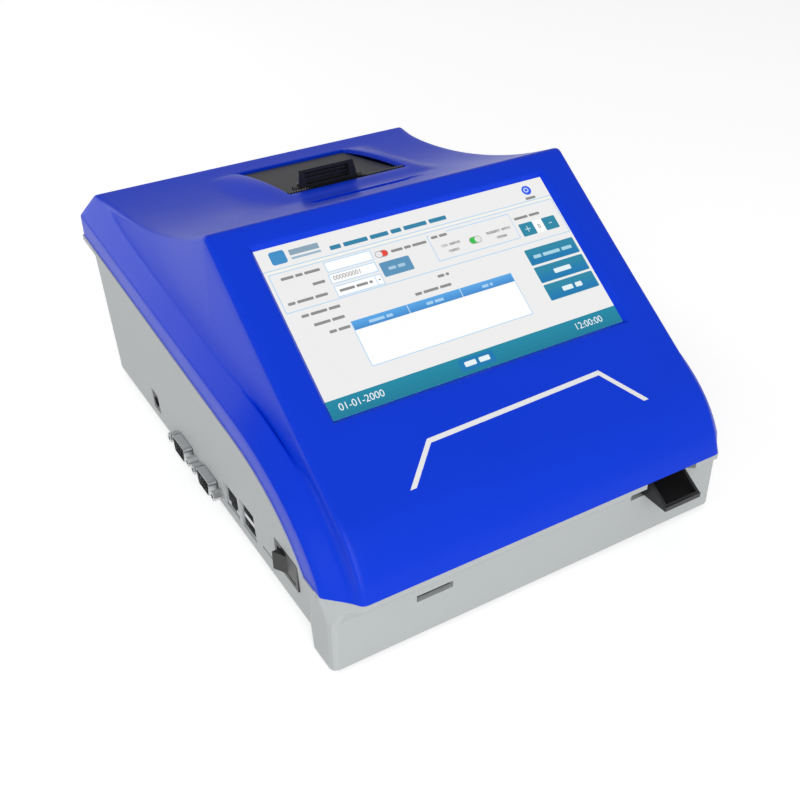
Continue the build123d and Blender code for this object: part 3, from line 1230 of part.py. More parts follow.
with BuildPart() as platen_bushes:
    for left in platen_ears:
        rod_x(left, left + ear_thick, platen_depth, platen_height, bush_radius)
        rod_x(left - 1, left + ear_thick + 1, platen_depth, platen_height, platen_shaft_radius + shaft_slack,
              Mode.SUBTRACT)
save(platen_bushes, "platen_bushes")


def side_gear(count, phase, d, h, bore):
    """A spur gear square to X in the printer's gear plane, in the current part; phase 0 is forward."""
    with BuildSketch(Plane((gear_left, back(d), up(h)), x_dir=(0, -1, 0), z_dir=(-1, 0, 0))) as outline:
        with BuildLine():
            Polyline(*tooth_points(count, gear_module, phase), close=True)
        make_face()
        if bore:
            Circle(bore, mode=Mode.SUBTRACT)
    extrude(outline.sketch, amount=-gear_thick)


platen_phase = 0.0
idler_phase = mating_phase(platen_teeth, platen_phase, idler_heading, idler_teeth)
motor_phase = mating_phase(idler_teeth, idler_phase, motor_heading, motor_teeth)
with BuildPart() as platen_gear:
    side_gear(platen_teeth, platen_phase, platen_depth, platen_height, platen_shaft_radius)
save(platen_gear, "platen_gear")

with BuildPart() as idler_gear:
    side_gear(idler_teeth, idler_phase, idler_depth, idler_height, 1.0 + shaft_slack)
save(idler_gear, "idler_gear")

with BuildPart() as motor_gear:
    side_gear(motor_teeth, motor_phase, drive_depth, drive_height, 0)
    rod_x(gear_left + 0.5, bay_right + bucket_wall + 8, drive_depth, drive_height, 0.75)
save(motor_gear, "motor_gear")

motor_face = bay_right + bucket_wall
with BuildPart() as printer_motor:
    rod_x(motor_face, motor_face + printer_motor_long, drive_depth, drive_height, printer_motor_radius)
    for d, h in motor_ears_at:
        rod_x(motor_face, motor_face + 1.0, d, h, 2.8)
    with BuildSketch(Plane((motor_face, back(drive_depth), up(drive_height)), x_dir=(0, -1, 0),
                           z_dir=(-1, 0, 0))) as flange:
        with Locations(Rotation(0, 0, motor_ear_turn)):
            Rectangle(23.2, 5.6)
    extrude(flange.sketch, amount=-1.0)
    rod_x(motor_face - 1, motor_face + 9, drive_depth, drive_height, 0.75 + shaft_slack, Mode.SUBTRACT)
    for d, h in motor_ears_at:
        rod_x(motor_face - 1, motor_face + 2, d, h, m25_radius + screw_slack, Mode.SUBTRACT)
save(printer_motor, "printer_motor")

plate_thick, element_thick = 2.0, 1.0
with BuildPart() as head_plate:
    block(rubber_left, rubber_right, 72.0, 87.0, head_top - element_thick - plate_thick, head_top - element_thick)
    for x, d in head_posts:
        rod_z(x, d, head_top - 5, head_top, platen_shaft_radius + screw_slack, Mode.SUBTRACT)
save(head_plate, "head_plate")

with BuildPart() as print_head:
    block(rubber_left + 2, rubber_right - 2, 77.5, 86.0, head_top - element_thick, head_top)
save(print_head, "print_head")

with BuildPart() as head_springs:
    low_end = ledge_height + bucket_wall
    high_end = head_top - element_thick - plate_thick
    wire = 0.35
    for x, d in head_posts:
        with BuildLine() as coil:
            Helix((high_end - low_end - 2 * wire) / 6, high_end - low_end - 2 * wire, 3.0,
                  center=(x, back(d), up(low_end + wire)))
        with BuildSketch(Plane(coil.line @ 0, z_dir=coil.line % 0)) as section:
            Circle(wire)
        sweep(section.sketch, path=coil.line)
save(head_springs, "head_springs")

tear_left, tear_right = bay_left + side_slack, bay_right - side_slack
tear_top, tooth_pitch, tooth_deep = 123.6, 1.5, 0.9
tear_back, tear_front = 86.6, 87.8
with BuildPart() as tear_bar:
    block(tear_left, tear_right, tear_back, bucket_front + 1.0, rim_front, rim_front + 1.3)
    block(tear_left, tear_right, tear_back, tear_front, rim_front, tear_top)
    for x, d in tear_screws_at:
        rod_z(x, d, rim_front - 1, rim_front + 2, m25_radius + screw_slack, Mode.SUBTRACT)
    with BuildSketch(Plane((bay_middle, back(tear_back - 1), up(tear_top - tooth_deep)), x_dir=(1, 0, 0),
                           z_dir=(0, -1, 0))) as notches:
        with GridLocations(tooth_pitch, 0, int((tear_right - tear_left) / tooth_pitch), 1):
            Polygon((0, 0), (tooth_pitch / 2, tooth_deep + 0.1), (-tooth_pitch / 2, tooth_deep + 0.1),
                    align=None)
    extrude(notches.sketch, amount=3, mode=Mode.SUBTRACT)
save(tear_bar, "tear_bar")

# ---- Screws of one size share a node -----------------------------------------------------------------
board_screw_length, motor_screw_length = board_top - floor_top, 3.0
with BuildPart() as board_screws:
    for x, d in board_screws_at:
        screw(x, d, board_top, board_screw_length, m25_radius, m25_head, m25_head_high)
    for x, d in card_posts_at:
        screw(x, d, card_shelf + 1.7, board_screw_length, m25_radius, m25_head, m25_head_high)
    for x, d in tear_screws_at:
        screw(x, d, rim_front + 1.3, board_screw_length, m25_radius, m25_head, m25_head_high)
save(board_screws, "board_screws")

with BuildPart() as frame_screws:
    for x, d in guide_posts_at:
        screw(x, d, plate_top, frame_screw_length, m3_radius, m3_head, m3_head_high)
    for x, d in bucket_screws_at:
        screw(x, d, bucket_ear_height - 2.5, frame_screw_length, m3_radius, m3_head, m3_head_high, headward=-1)
save(frame_screws, "frame_screws")

with BuildPart() as motor_screws:
    for x, d in motor_screws_at:
        screw(x, d, plate_top, motor_screw_length, m25_radius, m25_head, m25_head_high)
    for d, h in motor_ears_at:
        rod_x(motor_face + 1.0 - motor_screw_length, motor_face + 1.0, d, h, m25_radius)
        rod_x(motor_face + 1.0, motor_face + 1.0 + m25_head_high, d, h, m25_head)
save(motor_screws, "motor_screws")
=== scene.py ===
"""Rapid test reader, dressed for the picture: blue moulded cover, light-grey base, lit touch display."""
from math import asin, atan, atan2, ceil, cos, radians, sin, sqrt, tan

import bmesh
import bpy
from mathutils import Matrix, Vector


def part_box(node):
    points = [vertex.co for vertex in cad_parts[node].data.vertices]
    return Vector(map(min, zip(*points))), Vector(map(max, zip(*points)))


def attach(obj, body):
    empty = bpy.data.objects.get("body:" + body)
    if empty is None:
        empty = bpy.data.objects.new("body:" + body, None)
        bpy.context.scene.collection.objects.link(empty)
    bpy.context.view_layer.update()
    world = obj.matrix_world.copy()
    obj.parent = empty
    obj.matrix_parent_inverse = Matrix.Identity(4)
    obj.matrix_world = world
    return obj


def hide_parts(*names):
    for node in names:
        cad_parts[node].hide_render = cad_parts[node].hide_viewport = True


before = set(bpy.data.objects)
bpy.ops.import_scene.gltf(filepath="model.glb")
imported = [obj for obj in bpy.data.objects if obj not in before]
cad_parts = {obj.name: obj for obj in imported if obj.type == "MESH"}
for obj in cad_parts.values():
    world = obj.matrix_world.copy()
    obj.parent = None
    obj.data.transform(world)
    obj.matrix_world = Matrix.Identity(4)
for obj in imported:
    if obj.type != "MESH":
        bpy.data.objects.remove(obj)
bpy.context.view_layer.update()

# ---- Base housing ----------------------------------------------------------------------------
# Tub moulded in light-grey ABS with a fine spark-eroded grain. Everything else is screwed to it.
MM = 0.001
BASE_GREY = (0.49, 0.515, 0.52)
CLOUD_SCALE, GLOSS_SPREAD, GRAIN_HEIGHT = 22.0, 0.06, 0.0002
back_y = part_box("top_cover")[1][1]          # back of the casing
table_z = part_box("base_housing")[0][2]      # underside of the base


def spot(x, d, h):
    """A place in metres: x from the middle, d forward of the back, h above the base's underside, in mm."""
    return Vector((x * MM, back_y - d * MM, table_z + h * MM))


def plastic(name, colour, rough, grain, depth, cloud=0.05, metal=0.0):
    """Moulded surface: fine grain in the normal, slow cloudiness in colour and gloss."""
    material = bpy.data.materials.new(name)
    material.use_nodes = True
    nodes, links = material.node_tree.nodes, material.node_tree.links
    shader = nodes["Principled BSDF"]
    shader.inputs["Metallic"].default_value = metal
    place = nodes.new("ShaderNodeTexCoord")
    slow = nodes.new("ShaderNodeTexNoise")
    slow.inputs["Scale"].default_value = CLOUD_SCALE
    slow.inputs["Detail"].default_value = 5.0
    fine = nodes.new("ShaderNodeTexNoise")
    fine.inputs["Scale"].default_value = grain
    fine.inputs["Detail"].default_value = 2.0
    tint = nodes.new("ShaderNodeMix")
    tint.data_type = "RGBA"
    tint.inputs[6].default_value = (*[c * (1 - cloud) for c in colour], 1)
    tint.inputs[7].default_value = (*[min(1, c * (1 + cloud)) for c in colour], 1)
    gloss = nodes.new("ShaderNodeMapRange")
    gloss.inputs["To Min"].default_value = max(0.02, rough - GLOSS_SPREAD)
    gloss.inputs["To Max"].default_value = min(1.0, rough + GLOSS_SPREAD)
    bump = nodes.new("ShaderNodeBump")
    bump.inputs["Strength"].default_value = depth
    bump.inputs["Distance"].default_value = GRAIN_HEIGHT
    for source in (slow, fine):
        links.new(place.outputs["Object"], source.inputs["Vector"])
    links.new(slow.outputs["Fac"], tint.inputs["Factor"])
    links.new(tint.outputs[2], shader.inputs["Base Color"])
    links.new(slow.outputs["Fac"], gloss.inputs["Value"])
    links.new(gloss.outputs["Result"], shader.inputs["Roughness"])
    links.new(fine.outputs["Fac"], bump.inputs["Height"])
    links.new(bump.outputs["Normal"], shader.inputs["Normal"])
    return material


def dress(material, *names):
    """Gives CAD nodes their finish."""
    for name in names:
        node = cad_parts[name]
        node.data.materials.clear()
        node.data.materials.append(material)


base_plastic = plastic("base_plastic", BASE_GREY, 0.48, grain=1400, depth=0.2, cloud=0.02)
dress(base_plastic, "base_housing")

# ---- Rubber feet and platen -------------------------------------------------------------------
# Four pads of black rubber pressed into shallow seats, and the printer's rubber-covered roller.
black_rubber = plastic("black_rubber", (0.018, 0.018, 0.018), 0.8, grain=2400, depth=0.35, cloud=0.15)
dress(black_rubber, "rubber_feet", "platen_rubber")

# ---- Metal pieces ---------------------------------------------------------------------------------
# Plated screws, connector shells, pins and springs; pressed display bracket and motor cans.
plated_steel = plastic("plated_steel", (0.56, 0.57, 0.58), 0.28, grain=1800, depth=0.06, cloud=0.06,
                       metal=1.0)
dress(plated_steel, "case_screws", "display_screws", "board_screws", "frame_screws", "motor_screws",
      "head_screws", "serial_jackscrews", "serial_shells", "lan_jack", "usb_jack", "door_hinge_pin",
      "lever_pin", "platen_shaft", "head_springs", "tray_clip", "display_bracket", "lcd_module",
      "tray_motor", "printer_motor", "speaker", "coin_cell", "tray_pinion")
blackened_steel = plastic("blackened_steel", (0.03, 0.03, 0.032), 0.4, grain=1800, depth=0.08, cloud=0.1,
                          metal=0.6)
dress(blackened_steel, "tear_bar")
bare_aluminium = plastic("bare_aluminium", (0.66, 0.67, 0.68), 0.38, grain=1500, depth=0.08, metal=1.0)
dress(bare_aluminium, "heatsink", "head_plate")

# ---- Black mouldings ------------------------------------------------------------------------------
# Tray, guides, switch and connector bodies in black glass-filled plastic with a soft sheen.
black_plastic = plastic("black_plastic", (0.016, 0.016, 0.017), 0.36, grain=1300, depth=0.15, cloud=0.12)
dress(black_plastic, "printer_bucket", "test_tray", "tray_rack", "tray_guide", "switch_body", "switch_rocker",
      "home_sensor", "optical_head", "id_card_reader", "dc_jack", "serial_inserts", "ribbon_header",
      "coin_cell_holder", "memory_card_socket", "platen_gear", "idler_gear", "motor_gear", "platen_bushes",
      "processor_chip", "board_capacitors")

# ---- Boards ------------------------------------------------------------------------------------------
# Green glass-fibre laminate with solder mask, and a pale flat ribbon.
board_laminate = plastic("board_laminate", (0.02, 0.14, 0.06), 0.35, grain=700, depth=0.1, cloud=0.12)
dress(board_laminate, "main_board", "display_controller", "detector_board", "lamp_board")
ribbon_film = plastic("ribbon_film", (0.7, 0.68, 0.62), 0.4, grain=600, depth=0.05)
dress(ribbon_film, "display_ribbon")
glazed_ceramic = plastic("glazed_ceramic", (0.8, 0.8, 0.77), 0.15, grain=400, depth=0.02)
dress(glazed_ceramic, "print_head")
roll_paper = plastic("roll_paper", (0.85, 0.85, 0.82), 0.75, grain=1500, depth=0.3, cloud=0.02)
dress(roll_paper, "paper_roll")

# ---- Printer door and lever -----------------------------------------------------------------------
# Flat lid in charcoal ABS with a fine grain; the opening lever is black and glossier.
door_plastic = plastic("door_plastic", (0.030, 0.030, 0.032), 0.5, grain=1500, depth=0.2, cloud=0.06)
dress(door_plastic, "printer_door")
lever_plastic = plastic("lever_plastic", (0.007, 0.007, 0.008), 0.3, grain=1500, depth=0.1)
dress(lever_plastic, "printer_lever")

# ---- Top cover ---------------------------------------------------------------------------------------
# One moulding in satin blue ABS, 2.5 mm thick and screwed on from below: a rising deck with an island
# round the printer's lid, a flat display panel, a front that bends down, and a chamfer along each side.
COVER_BLUE = (0.001, 0.043, 0.70)
COVER_WALL = 2.5
DECK_HALF = 95.5                            # side edge of deck and panel, from the middle
RIDGE_DEPTH, RIDGE_HEIGHT = 160.0, 147.6
DECK_RADIUS, DECK_CENTRE = 372.6, (-6.5, 480.9)
PANEL_LEAN = radians(34.57)
BEND_DEPTH, FRONT_DEPTH, FRONT_SEAM = 272.0, 292.6, 40.4
KNEE_DEPTH = 198.0                          # the side lines run straight to here, then curve down
CHAMFER_LINE = (98.1, 108.3, 89.5, 288.5, radians(58))    # half width, back, knee, foot, end slope
SKIRT_LINE = (107.8, 98.8, 81.7, 279.0, radians(64))
SEAM_LINE = (107.8, 87.0, 70.2, 264.0, radians(50))
ISLAND_MIDDLE, ISLAND_HALF, ISLAND_FLANK = 13.0, 36.5, 19.0
ISLAND_CREST = ((14.0, 109.0), (60.0, 119.8), (108.0, 125.2))
BAY_SIDES, BAY_ENDS = (-22.0, 48.0), (16.5, 90.5)
GROOVE_ENDS, GROOVE_SIDES, GROOVE_SUNK = (-21.0, 48.0), (112.75, 121.25), 1.9
MOUTH_HALF, MOUTH_MIDDLE, MOUTH_BEVEL, MOUTH_SUNK = (79.05, 43.95), 54.4, 1.85, 2.5
EDGE_EASE, RIDGE_EASE, CHEEK_EASE, BACK_EASE = 2.6, 2.2, 13.0, 1.2
SHOULDER_EASE, HEM_EASE, RIM_BEVEL = 1.6, 0.9, 0.4
GRID_STEP, BEND_STEPS = 5.0, 16
CREASE = radians(35)

bend_height = RIDGE_HEIGHT - (BEND_DEPTH - RIDGE_DEPTH) * tan(PANEL_LEAN)
panel_normal = Vector((sin(PANEL_LEAN), cos(PANEL_LEAN)))
panel_length = (BEND_DEPTH - RIDGE_DEPTH) / cos(PANEL_LEAN)
front_chord = Vector((FRONT_DEPTH - BEND_DEPTH, FRONT_SEAM - bend_height))
front_turn = 2 * (atan2(-front_chord.y, front_chord.x) - PANEL_LEAN)
front_radius = front_chord.length / (2 * sin(front_turn / 2))


def smooth(t):
    """Eases from 0 to 1 with level ends."""
    t = min(1.0, max(0.0, t))
    return t * t * t * (t * (6 * t - 15) + 10)


def deck_height(d, inset=0.0):
    """Height of the plain deck, a long arc in the side view."""
    return DECK_CENTRE[1] - sqrt((DECK_RADIUS + inset) ** 2 - (d - DECK_CENTRE[0]) ** 2)


def island_rise(x, d):
    """How far the island round the lid stands over the plain deck; its flanks fade out smoothly."""
    (d0, h0), (d1, h1), (d2, h2) = ISLAND_CREST
    crest = (h0 * (d - d1) * (d - d2) / ((d0 - d1) * (d0 - d2)) + h1 * (d - d0) * (d - d2) /
             ((d1 - d0) * (d1 - d2)) + h2 * (d - d0) * (d - d1) / ((d2 - d0) * (d2 - d1)))
    rise = max(0.0, crest - deck_height(d)) * smooth((d - d0) / 9.0) if d0 < d < d2 else 0.0
    return rise * (1 - smooth((abs(x - ISLAND_MIDDLE) - ISLAND_HALF) / ISLAND_FLANK))


def groove_fall(x, d):
    """Finger groove in front of the lid: square at its left end, fading out to the right."""
    if not GROOVE_SIDES[0] < d < GROOVE_SIDES[1]:
        return 0.0
    along = smooth((x - GROOVE_ENDS[0]) / 1.5) * (1 - smooth((x - 14.0) / (GROOVE_ENDS[1] - 14.0)))
    return GROOVE_SUNK * along


ridge_lean = asin((RIDGE_DEPTH - DECK_CENTRE[0]) / DECK_RADIUS)
ridge_mitre = (panel_normal + Vector((-sin(ridge_lean), cos(ridge_lean))))
ridge_mitre /= 1 + panel_normal.dot(Vector((-sin(ridge_lean), cos(ridge_lean))))


def middle_place(part, s, inset):
    """Side-view point (d, h) of the cover's middle; part 0 is the deck, 1 the panel, 2 the bend."""
    ridge = Vector((RIDGE_DEPTH, RIDGE_HEIGHT)) - ridge_mitre * inset
    bend = Vector((BEND_DEPTH, bend_height)) - panel_normal * inset
    if part == 0:
        d = ridge.x * s
        return Vector((max(d, inset + d / 2), deck_height(d, inset)))
    if part == 1:
        return ridge.lerp(bend, s)
    lean = PANEL_LEAN + front_turn * s
    if s == 1:
        return Vector((FRONT_DEPTH - inset / sin(lean), FRONT_SEAM))
    reach = front_radius - inset
    return bend + Vector((sin(lean) - sin(PANEL_LEAN), cos(lean) - cos(PANEL_LEAN))) * reach


def side_place(line, part, s, inset):
    """Place (x, d, h) on one of the side lines, beside the same stretch of the middle."""
    x, back_height, knee_height, foot, foot_lean = line
    fall = (back_height - knee_height) / KNEE_DEPTH
    drop = 0.0 if line is SEAM_LINE else inset
    if part < 2:
        d = RIDGE_DEPTH * s if part == 0 else RIDGE_DEPTH + (KNEE_DEPTH - RIDGE_DEPTH) * s
        return Vector((x - inset, max(d, inset + d / 2), back_height - fall * d - drop))
    start = Vector((KNEE_DEPTH, knee_height - drop))
    end = Vector((foot - (0.0 if line is SEAM_LINE else inset), FRONT_SEAM))
    pull = (end - start).length
    leave = Vector((cos(atan(fall)), -sin(atan(fall)))) * pull
    arrive = Vector((cos(foot_lean), -sin(foot_lean))) * pull
    place = (start * (2 * s ** 3 - 3 * s ** 2 + 1) + leave * (s ** 3 - 2 * s ** 2 + s)
             + end * (3 * s ** 2 - 2 * s ** 3) + arrive * (s ** 3 - s ** 2))
    return Vector((x - inset, place.x, place.y))


def eased(corner, before, after, reach_before, reach_after, steps):
    """Points round a softened corner, from one side's reach to the other's."""
    start = corner + (before - corner).normalized() * reach_before
    end = corner + (after - corner).normalized() * reach_after
    return [start * (1 - t) ** 2 + corner * 2 * t * (1 - t) + end * t * t
            for t in (i / steps for i in range(steps + 1))]


def between(start, end, count):
    """Evenly spaced places between two others."""
    return [start.lerp(end, (i + 1) / (count + 1)) for i in range(count)]


def stations(keys, steps):
    """Evenly subdivided values from key to key; steps gives a length of its own after some keys."""
    values = [keys[0]]
    for low, high in zip(keys, keys[1:]):
        count = max(1, ceil((high - low) / steps.get(low, GRID_STEP) - 1e-6))
        values += [low + (high - low) * (i + 1) / count for i in range(count)]
    return values


def nearest(values, wanted):
    """Number of the value closest to the wanted one."""
    return min(range(len(values)), key=lambda i: abs(values[i] - wanted))


columns = stations([EDGE_EASE - DECK_HALF, -MOUTH_HALF[0], -44.0, BAY_SIDES[0], BAY_SIDES[1], 70.0,
                    MOUTH_HALF[0], DECK_HALF - EDGE_EASE],
                   {-44.0: 1.8, BAY_SIDES[0]: 3.5, BAY_SIDES[1]: 1.8})


def cross_ring(middle, knuckle, shoulder, hem, relief, inset):
    """One ring over the cover from seam to seam, through the deck's edges, chamfers and skirts."""
    edge = Vector((DECK_HALF - inset, middle.x, middle.y))
    drop = (knuckle - edge).length
    inward = Vector((0, middle.x, middle.y))
    rim = eased(edge, inward, knuckle, EDGE_EASE, min(EDGE_EASE, 0.45 * drop), 4)
    spread = min(CHEEK_EASE, 0.4 * drop)
    hollow = eased(knuckle, edge, shoulder, spread, SHOULDER_EASE, 6)
    corner = eased(shoulder, knuckle, hem, HEM_EASE, HEM_EASE, 3)
    half = rim + between(rim[-1], hollow[0], 5) + hollow + between(hollow[-1], corner[0], 2) + corner
    half += between(corner[-1], hem, 2) + [hem]
    flat = []
    for x in columns[1:-1]:
        shift = x if abs(x) <= MOUTH_HALF[0] else x * (DECK_HALF - inset) / DECK_HALF
        flat.append(Vector((shift, middle.x, middle.y + relief(x, middle.x))))
    return [Vector((-p.x, p.y, p.z)) for p in reversed(half)] + flat + half


def cover_ring(part, s, inset):
    """The ring beside one place of the side view; only the deck has the island and the groove."""
    corners = [side_place(line, part, s, inset) for line in (CHAMFER_LINE, SKIRT_LINE, SEAM_LINE)]

    def relief(x, d):
        return island_rise(x, d) - groove_fall(x, d) if part == 0 else 0.0
    return cross_ring(middle_place(part, s, inset), *corners, relief, inset)


def plain(x, d):
    """No relief."""
    return 0.0


def cover_grid(inset):
    """All rings of one skin of the cover, from the back wall forward, with each ring's key."""
    outline = cover_ring(0, 0.0, inset)
    start = cover_ring(0, BACK_EASE / RIDGE_DEPTH, inset)
    inner = []
    for i, p in enumerate(outline):
        ahead, behind = outline[min(i + 1, len(outline) - 1)], outline[max(i - 1, 0)]
        run = ahead - behind
        inner.append(p + Vector((run.z, 0, -run.x)).normalized() * BACK_EASE)
    rings = []
    for t in (1.0, 0.75, 0.5, 0.25):
        rings.append([a * (1 - t) ** 2 + b * 2 * t * (1 - t) + c * t * t
                      for a, b, c in zip(start, outline, inner)])
    keys = [("back", t) for t in range(4)]
    deck = stations([BACK_EASE, 7.0, ISLAND_CREST[0][0], *BAY_ENDS, ISLAND_CREST[2][0], GROOVE_SIDES[0],
                     GROOVE_SIDES[0] + 0.4, GROOVE_SIDES[1] - 0.4, GROOVE_SIDES[1],
                     RIDGE_DEPTH - RIDGE_EASE], {BAY_ENDS[0]: 3.0})
    for d in deck:
        rings.append(cover_ring(0, d / RIDGE_DEPTH, inset))
        keys.append(("deck", round(d, 3)))
    before, after = 1 - RIDGE_EASE / RIDGE_DEPTH, RIDGE_EASE / panel_length
    low = [side_place(line, 0, before, inset) for line in (CHAMFER_LINE, SKIRT_LINE, SEAM_LINE)]
    high = [side_place(line, 1, after, inset) for line in (CHAMFER_LINE, SKIRT_LINE, SEAM_LINE)]
    start, end = middle_place(0, before, inset), middle_place(1, after, inset)
    top = middle_place(1, 0.0, inset)
    for t in (0.25, 0.5, 0.75):
        middle = start * (1 - t) ** 2 + top * 2 * t * (1 - t) + end * t * t
        rings.append(cross_ring(middle, *[a.lerp(b, t) for a, b in zip(low, high)], plain, inset))
        keys.append(("ridge", t))
    mouth = [MOUTH_MIDDLE - MOUTH_HALF[1], MOUTH_MIDDLE + MOUTH_HALF[1]]
    for v in stations([RIDGE_EASE, *mouth, panel_length], {}):
        rings.append(cover_ring(1, v / panel_length, inset))
        keys.append(("panel", round(v, 3)))
    for i in range(BEND_STEPS):
        rings.append(cover_ring(2, (i + 1) / BEND_STEPS, inset))
        keys.append(("bend", i + 1))
    return rings, keys


outer, ring_keys = cover_grid(0.0)
inner, ring_keys = cover_grid(COVER_WALL)
width, first = len(outer[0]), (len(outer[0]) - len(columns)) // 2
mouth_columns = [first + nearest(columns, x) for x in (-MOUTH_HALF[0], MOUTH_HALF[0])]
bay_columns = [first + nearest(columns, x) for x in BAY_SIDES]
bay_rows = [ring_keys.index(("deck", d)) for d in BAY_ENDS]
mouth_rows = [ring_keys.index(("panel", round(MOUTH_MIDDLE + side * MOUTH_HALF[1], 3))) for side in (-1, 1)]


def panel_spot(x, v, level):
    """A place on the panel in mm: x from the middle, v down the slope from the ridge, level above it."""
    d = RIDGE_DEPTH + v * cos(PANEL_LEAN) + level * sin(PANEL_LEAN)
    return Vector((x, d, RIDGE_HEIGHT - v * sin(PANEL_LEAN) + level * cos(PANEL_LEAN)))


def opening(row, column):
    """Whether the face from this ring and column on lies in the printer bay or the display's mouth."""
    in_bay = bay_rows[0] <= row < bay_rows[1] and bay_columns[0] <= column < bay_columns[1]
    in_mouth = mouth_rows[0] <= row < mouth_rows[1] and mouth_columns[0] <= column < mouth_columns[1]
    return in_bay or in_mouth


shrink_x, shrink_v = [(half - MOUTH_BEVEL) / half for half in MOUTH_HALF]
for row in range(mouth_rows[0], mouth_rows[1] + 1):
    for column in range(mouth_columns[0], mouth_columns[1] + 1):
        x, v = columns[column - first], ring_keys[row][1]
        inner[row][column] = panel_spot(x * shrink_x, MOUTH_MIDDLE + (v - MOUTH_MIDDLE) * shrink_v,
                                        -MOUTH_SUNK)

cover_mesh = bmesh.new()
skins = [[[cover_mesh.verts.new(spot(*p)) for p in ring] for ring in grid] for grid in (outer, inner)]
for row in range(len(outer) - 1):
    for column in range(width - 1):
        if opening(row, column):
            continue
        for skin, order in zip(skins, (1, -1)):
            near, far = skin[row], skin[row + 1]
            quad = [near[column], far[column], far[column + 1], near[column + 1]]
            cover_mesh.faces.new(quad[::order])
for skin, order in zip(skins, (1, -1)):
    cover_mesh.faces.new(skin[0][::order])
index = {v: (i, j) for i, ring in enumerate(skins[0]) for j, v in enumerate(ring)}
for edge in list(cover_mesh.edges):
    if len(edge.link_faces) == 1 and edge.verts[0] in index and edge.verts[1] in index:
        (i, j), (k, m) = index[edge.verts[0]], index[edge.verts[1]]
        cover_mesh.faces.new((skins[0][i][j], skins[0][k][m], skins[1][k][m], skins[1][i][j]))
bmesh.ops.recalc_face_normals(cover_mesh, faces=cover_mesh.faces)
bmesh.ops.delete(cover_mesh, geom=[v for v in cover_mesh.verts if not v.link_faces], context="VERTS")


def on_loop(edge, rows, sides):
    """Whether an edge runs along the rim of an opening in the outer skin."""
    if not all(v in index for v in edge.verts):
        return False
    places = [index[v] for v in edge.verts]
    same_row = places[0][0] == places[1][0] and places[0][0] in rows
    same_column = places[0][1] == places[1][1] and places[0][1] in sides
    inside = all(rows[0] <= i <= rows[1] and sides[0] <= j <= sides[1] for i, j in places)
    return inside and (same_row or same_column)


loops = [e for e in cover_mesh.edges
         if on_loop(e, bay_rows, bay_columns) or on_loop(e, mouth_rows, mouth_columns)]
bmesh.ops.bevel(cover_mesh, geom=loops, offset=RIM_BEVEL * MM, offset_type="OFFSET", segments=2, profile=0.5,
                affect="EDGES", clamp_overlap=False)


def finish_mesh(shape, name, material, body, hides=()):
    """Makes the piece: smooth faces, hard edges where it turns sharply, one finish, one body."""
    for face in shape.faces:
        face.smooth = True
    for edge in shape.edges:
        edge.smooth = len(edge.link_faces) == 2 and edge.calc_face_angle(0.0) < CREASE
    mesh = bpy.data.meshes.new(name)
    shape.to_mesh(mesh)
    shape.free()
    piece = bpy.data.objects.new(name, mesh)
    bpy.context.collection.objects.link(piece)
    mesh.materials.append(material)
    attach(piece, body)
    if hides:
        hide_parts(*hides)


cover_plastic = plastic("cover_plastic", COVER_BLUE, 0.32, grain=1100, depth=0.05, cloud=0.03)
cover_plastic.node_tree.nodes["Principled BSDF"].inputs["Specular IOR Level"].default_value = 0.16
finish_mesh(cover_mesh, "moulded_cover", cover_plastic, "case", hides=["top_cover"])

# ---- Printed bracket on the cover -------------------------------------------------------------------
# A white line pad-printed on the panel below the display, folded down at both ends.
PRINT_WIDTH = 2.2
PRINT_LINE = ((-59.5, 135.7), (-43.4, 118.9), (48.5, 116.6), (64.4, 136.3))     # x, down from the ridge
PRINT_LEVEL = 0.03
print_mesh = bmesh.new()
points = [Vector(p) for p in PRINT_LINE]
rails = []
for i, point in enumerate(points):
    if 0 < i < len(points) - 1:
        before, after = (point - points[i - 1]).normalized(), (points[i + 1] - point).normalized()
        normal = Vector((-before.y - after.y, before.x + after.x)).normalized()
        across = normal * (PRINT_WIDTH / 2 / normal.dot(Vector((-before.y, before.x))))
    else:
        run = (points[1] - points[0]) if i == 0 else (points[-1] - points[-2])
        across = Vector((-PRINT_WIDTH / 2 * run.length / run.y, 0))
    rails.append((point + across, point - across))
rings = [[print_mesh.verts.new(spot(*panel_spot(p.x, p.y, PRINT_LEVEL))) for p in pair] for pair in rails]
for low, high in zip(rings, rings[1:]):
    print_mesh.faces.new((low[0], low[1], high[1], high[0]))
bmesh.ops.recalc_face_normals(print_mesh, faces=print_mesh.faces)
if next(iter(print_mesh.faces)).normal.z < 0:
    bmesh.ops.reverse_faces(print_mesh, faces=print_mesh.faces)
print_white = plastic("print_white", (0.86, 0.87, 0.88), 0.5, grain=900, depth=0.03, cloud=0.01)
finish_mesh(print_mesh, "printed_bracket", print_white, "case")

# ---- Display -----------------------------------------------------------------------------------------
# Seven-inch colour display behind a clear touch glass, lit with its plain entry form: fields, buttons,
# an empty table and a clock. Captions are plain bars, one to a word.
PICTURE_HALF = (77.2, 42.1)
PICTURE_LEVEL = 0.02 - MOUTH_SUNK           # on the glass; each layer of the form lies 0.02 mm higher
LAYER = 0.02
PILL_TURNS = 5                              # sides of each rounded corner
clear_glass = bpy.data.materials.new("clear_glass")
clear_glass.use_nodes = True
glass_shader = clear_glass.node_tree.nodes["Principled BSDF"]
glass_shader.inputs["Base Color"].default_value = (0.9, 0.92, 0.95, 1)
glass_shader.inputs["Roughness"].default_value = 0.06
glass_shader.inputs["Transmission Weight"].default_value = 1.0
dress(clear_glass, "objective_lens", "touch_panel")

form_mesh = bmesh.new()
form_colours = {}


def linear(code):
    """A display colour, written as six hex digits, as the renderer's numbers."""
    parts = [int(code[i:i + 2], 16) / 255 for i in (0, 2, 4)]
    return [p / 12.92 if p < 0.04045 else ((p + 0.055) / 1.055) ** 2.4 for p in parts]


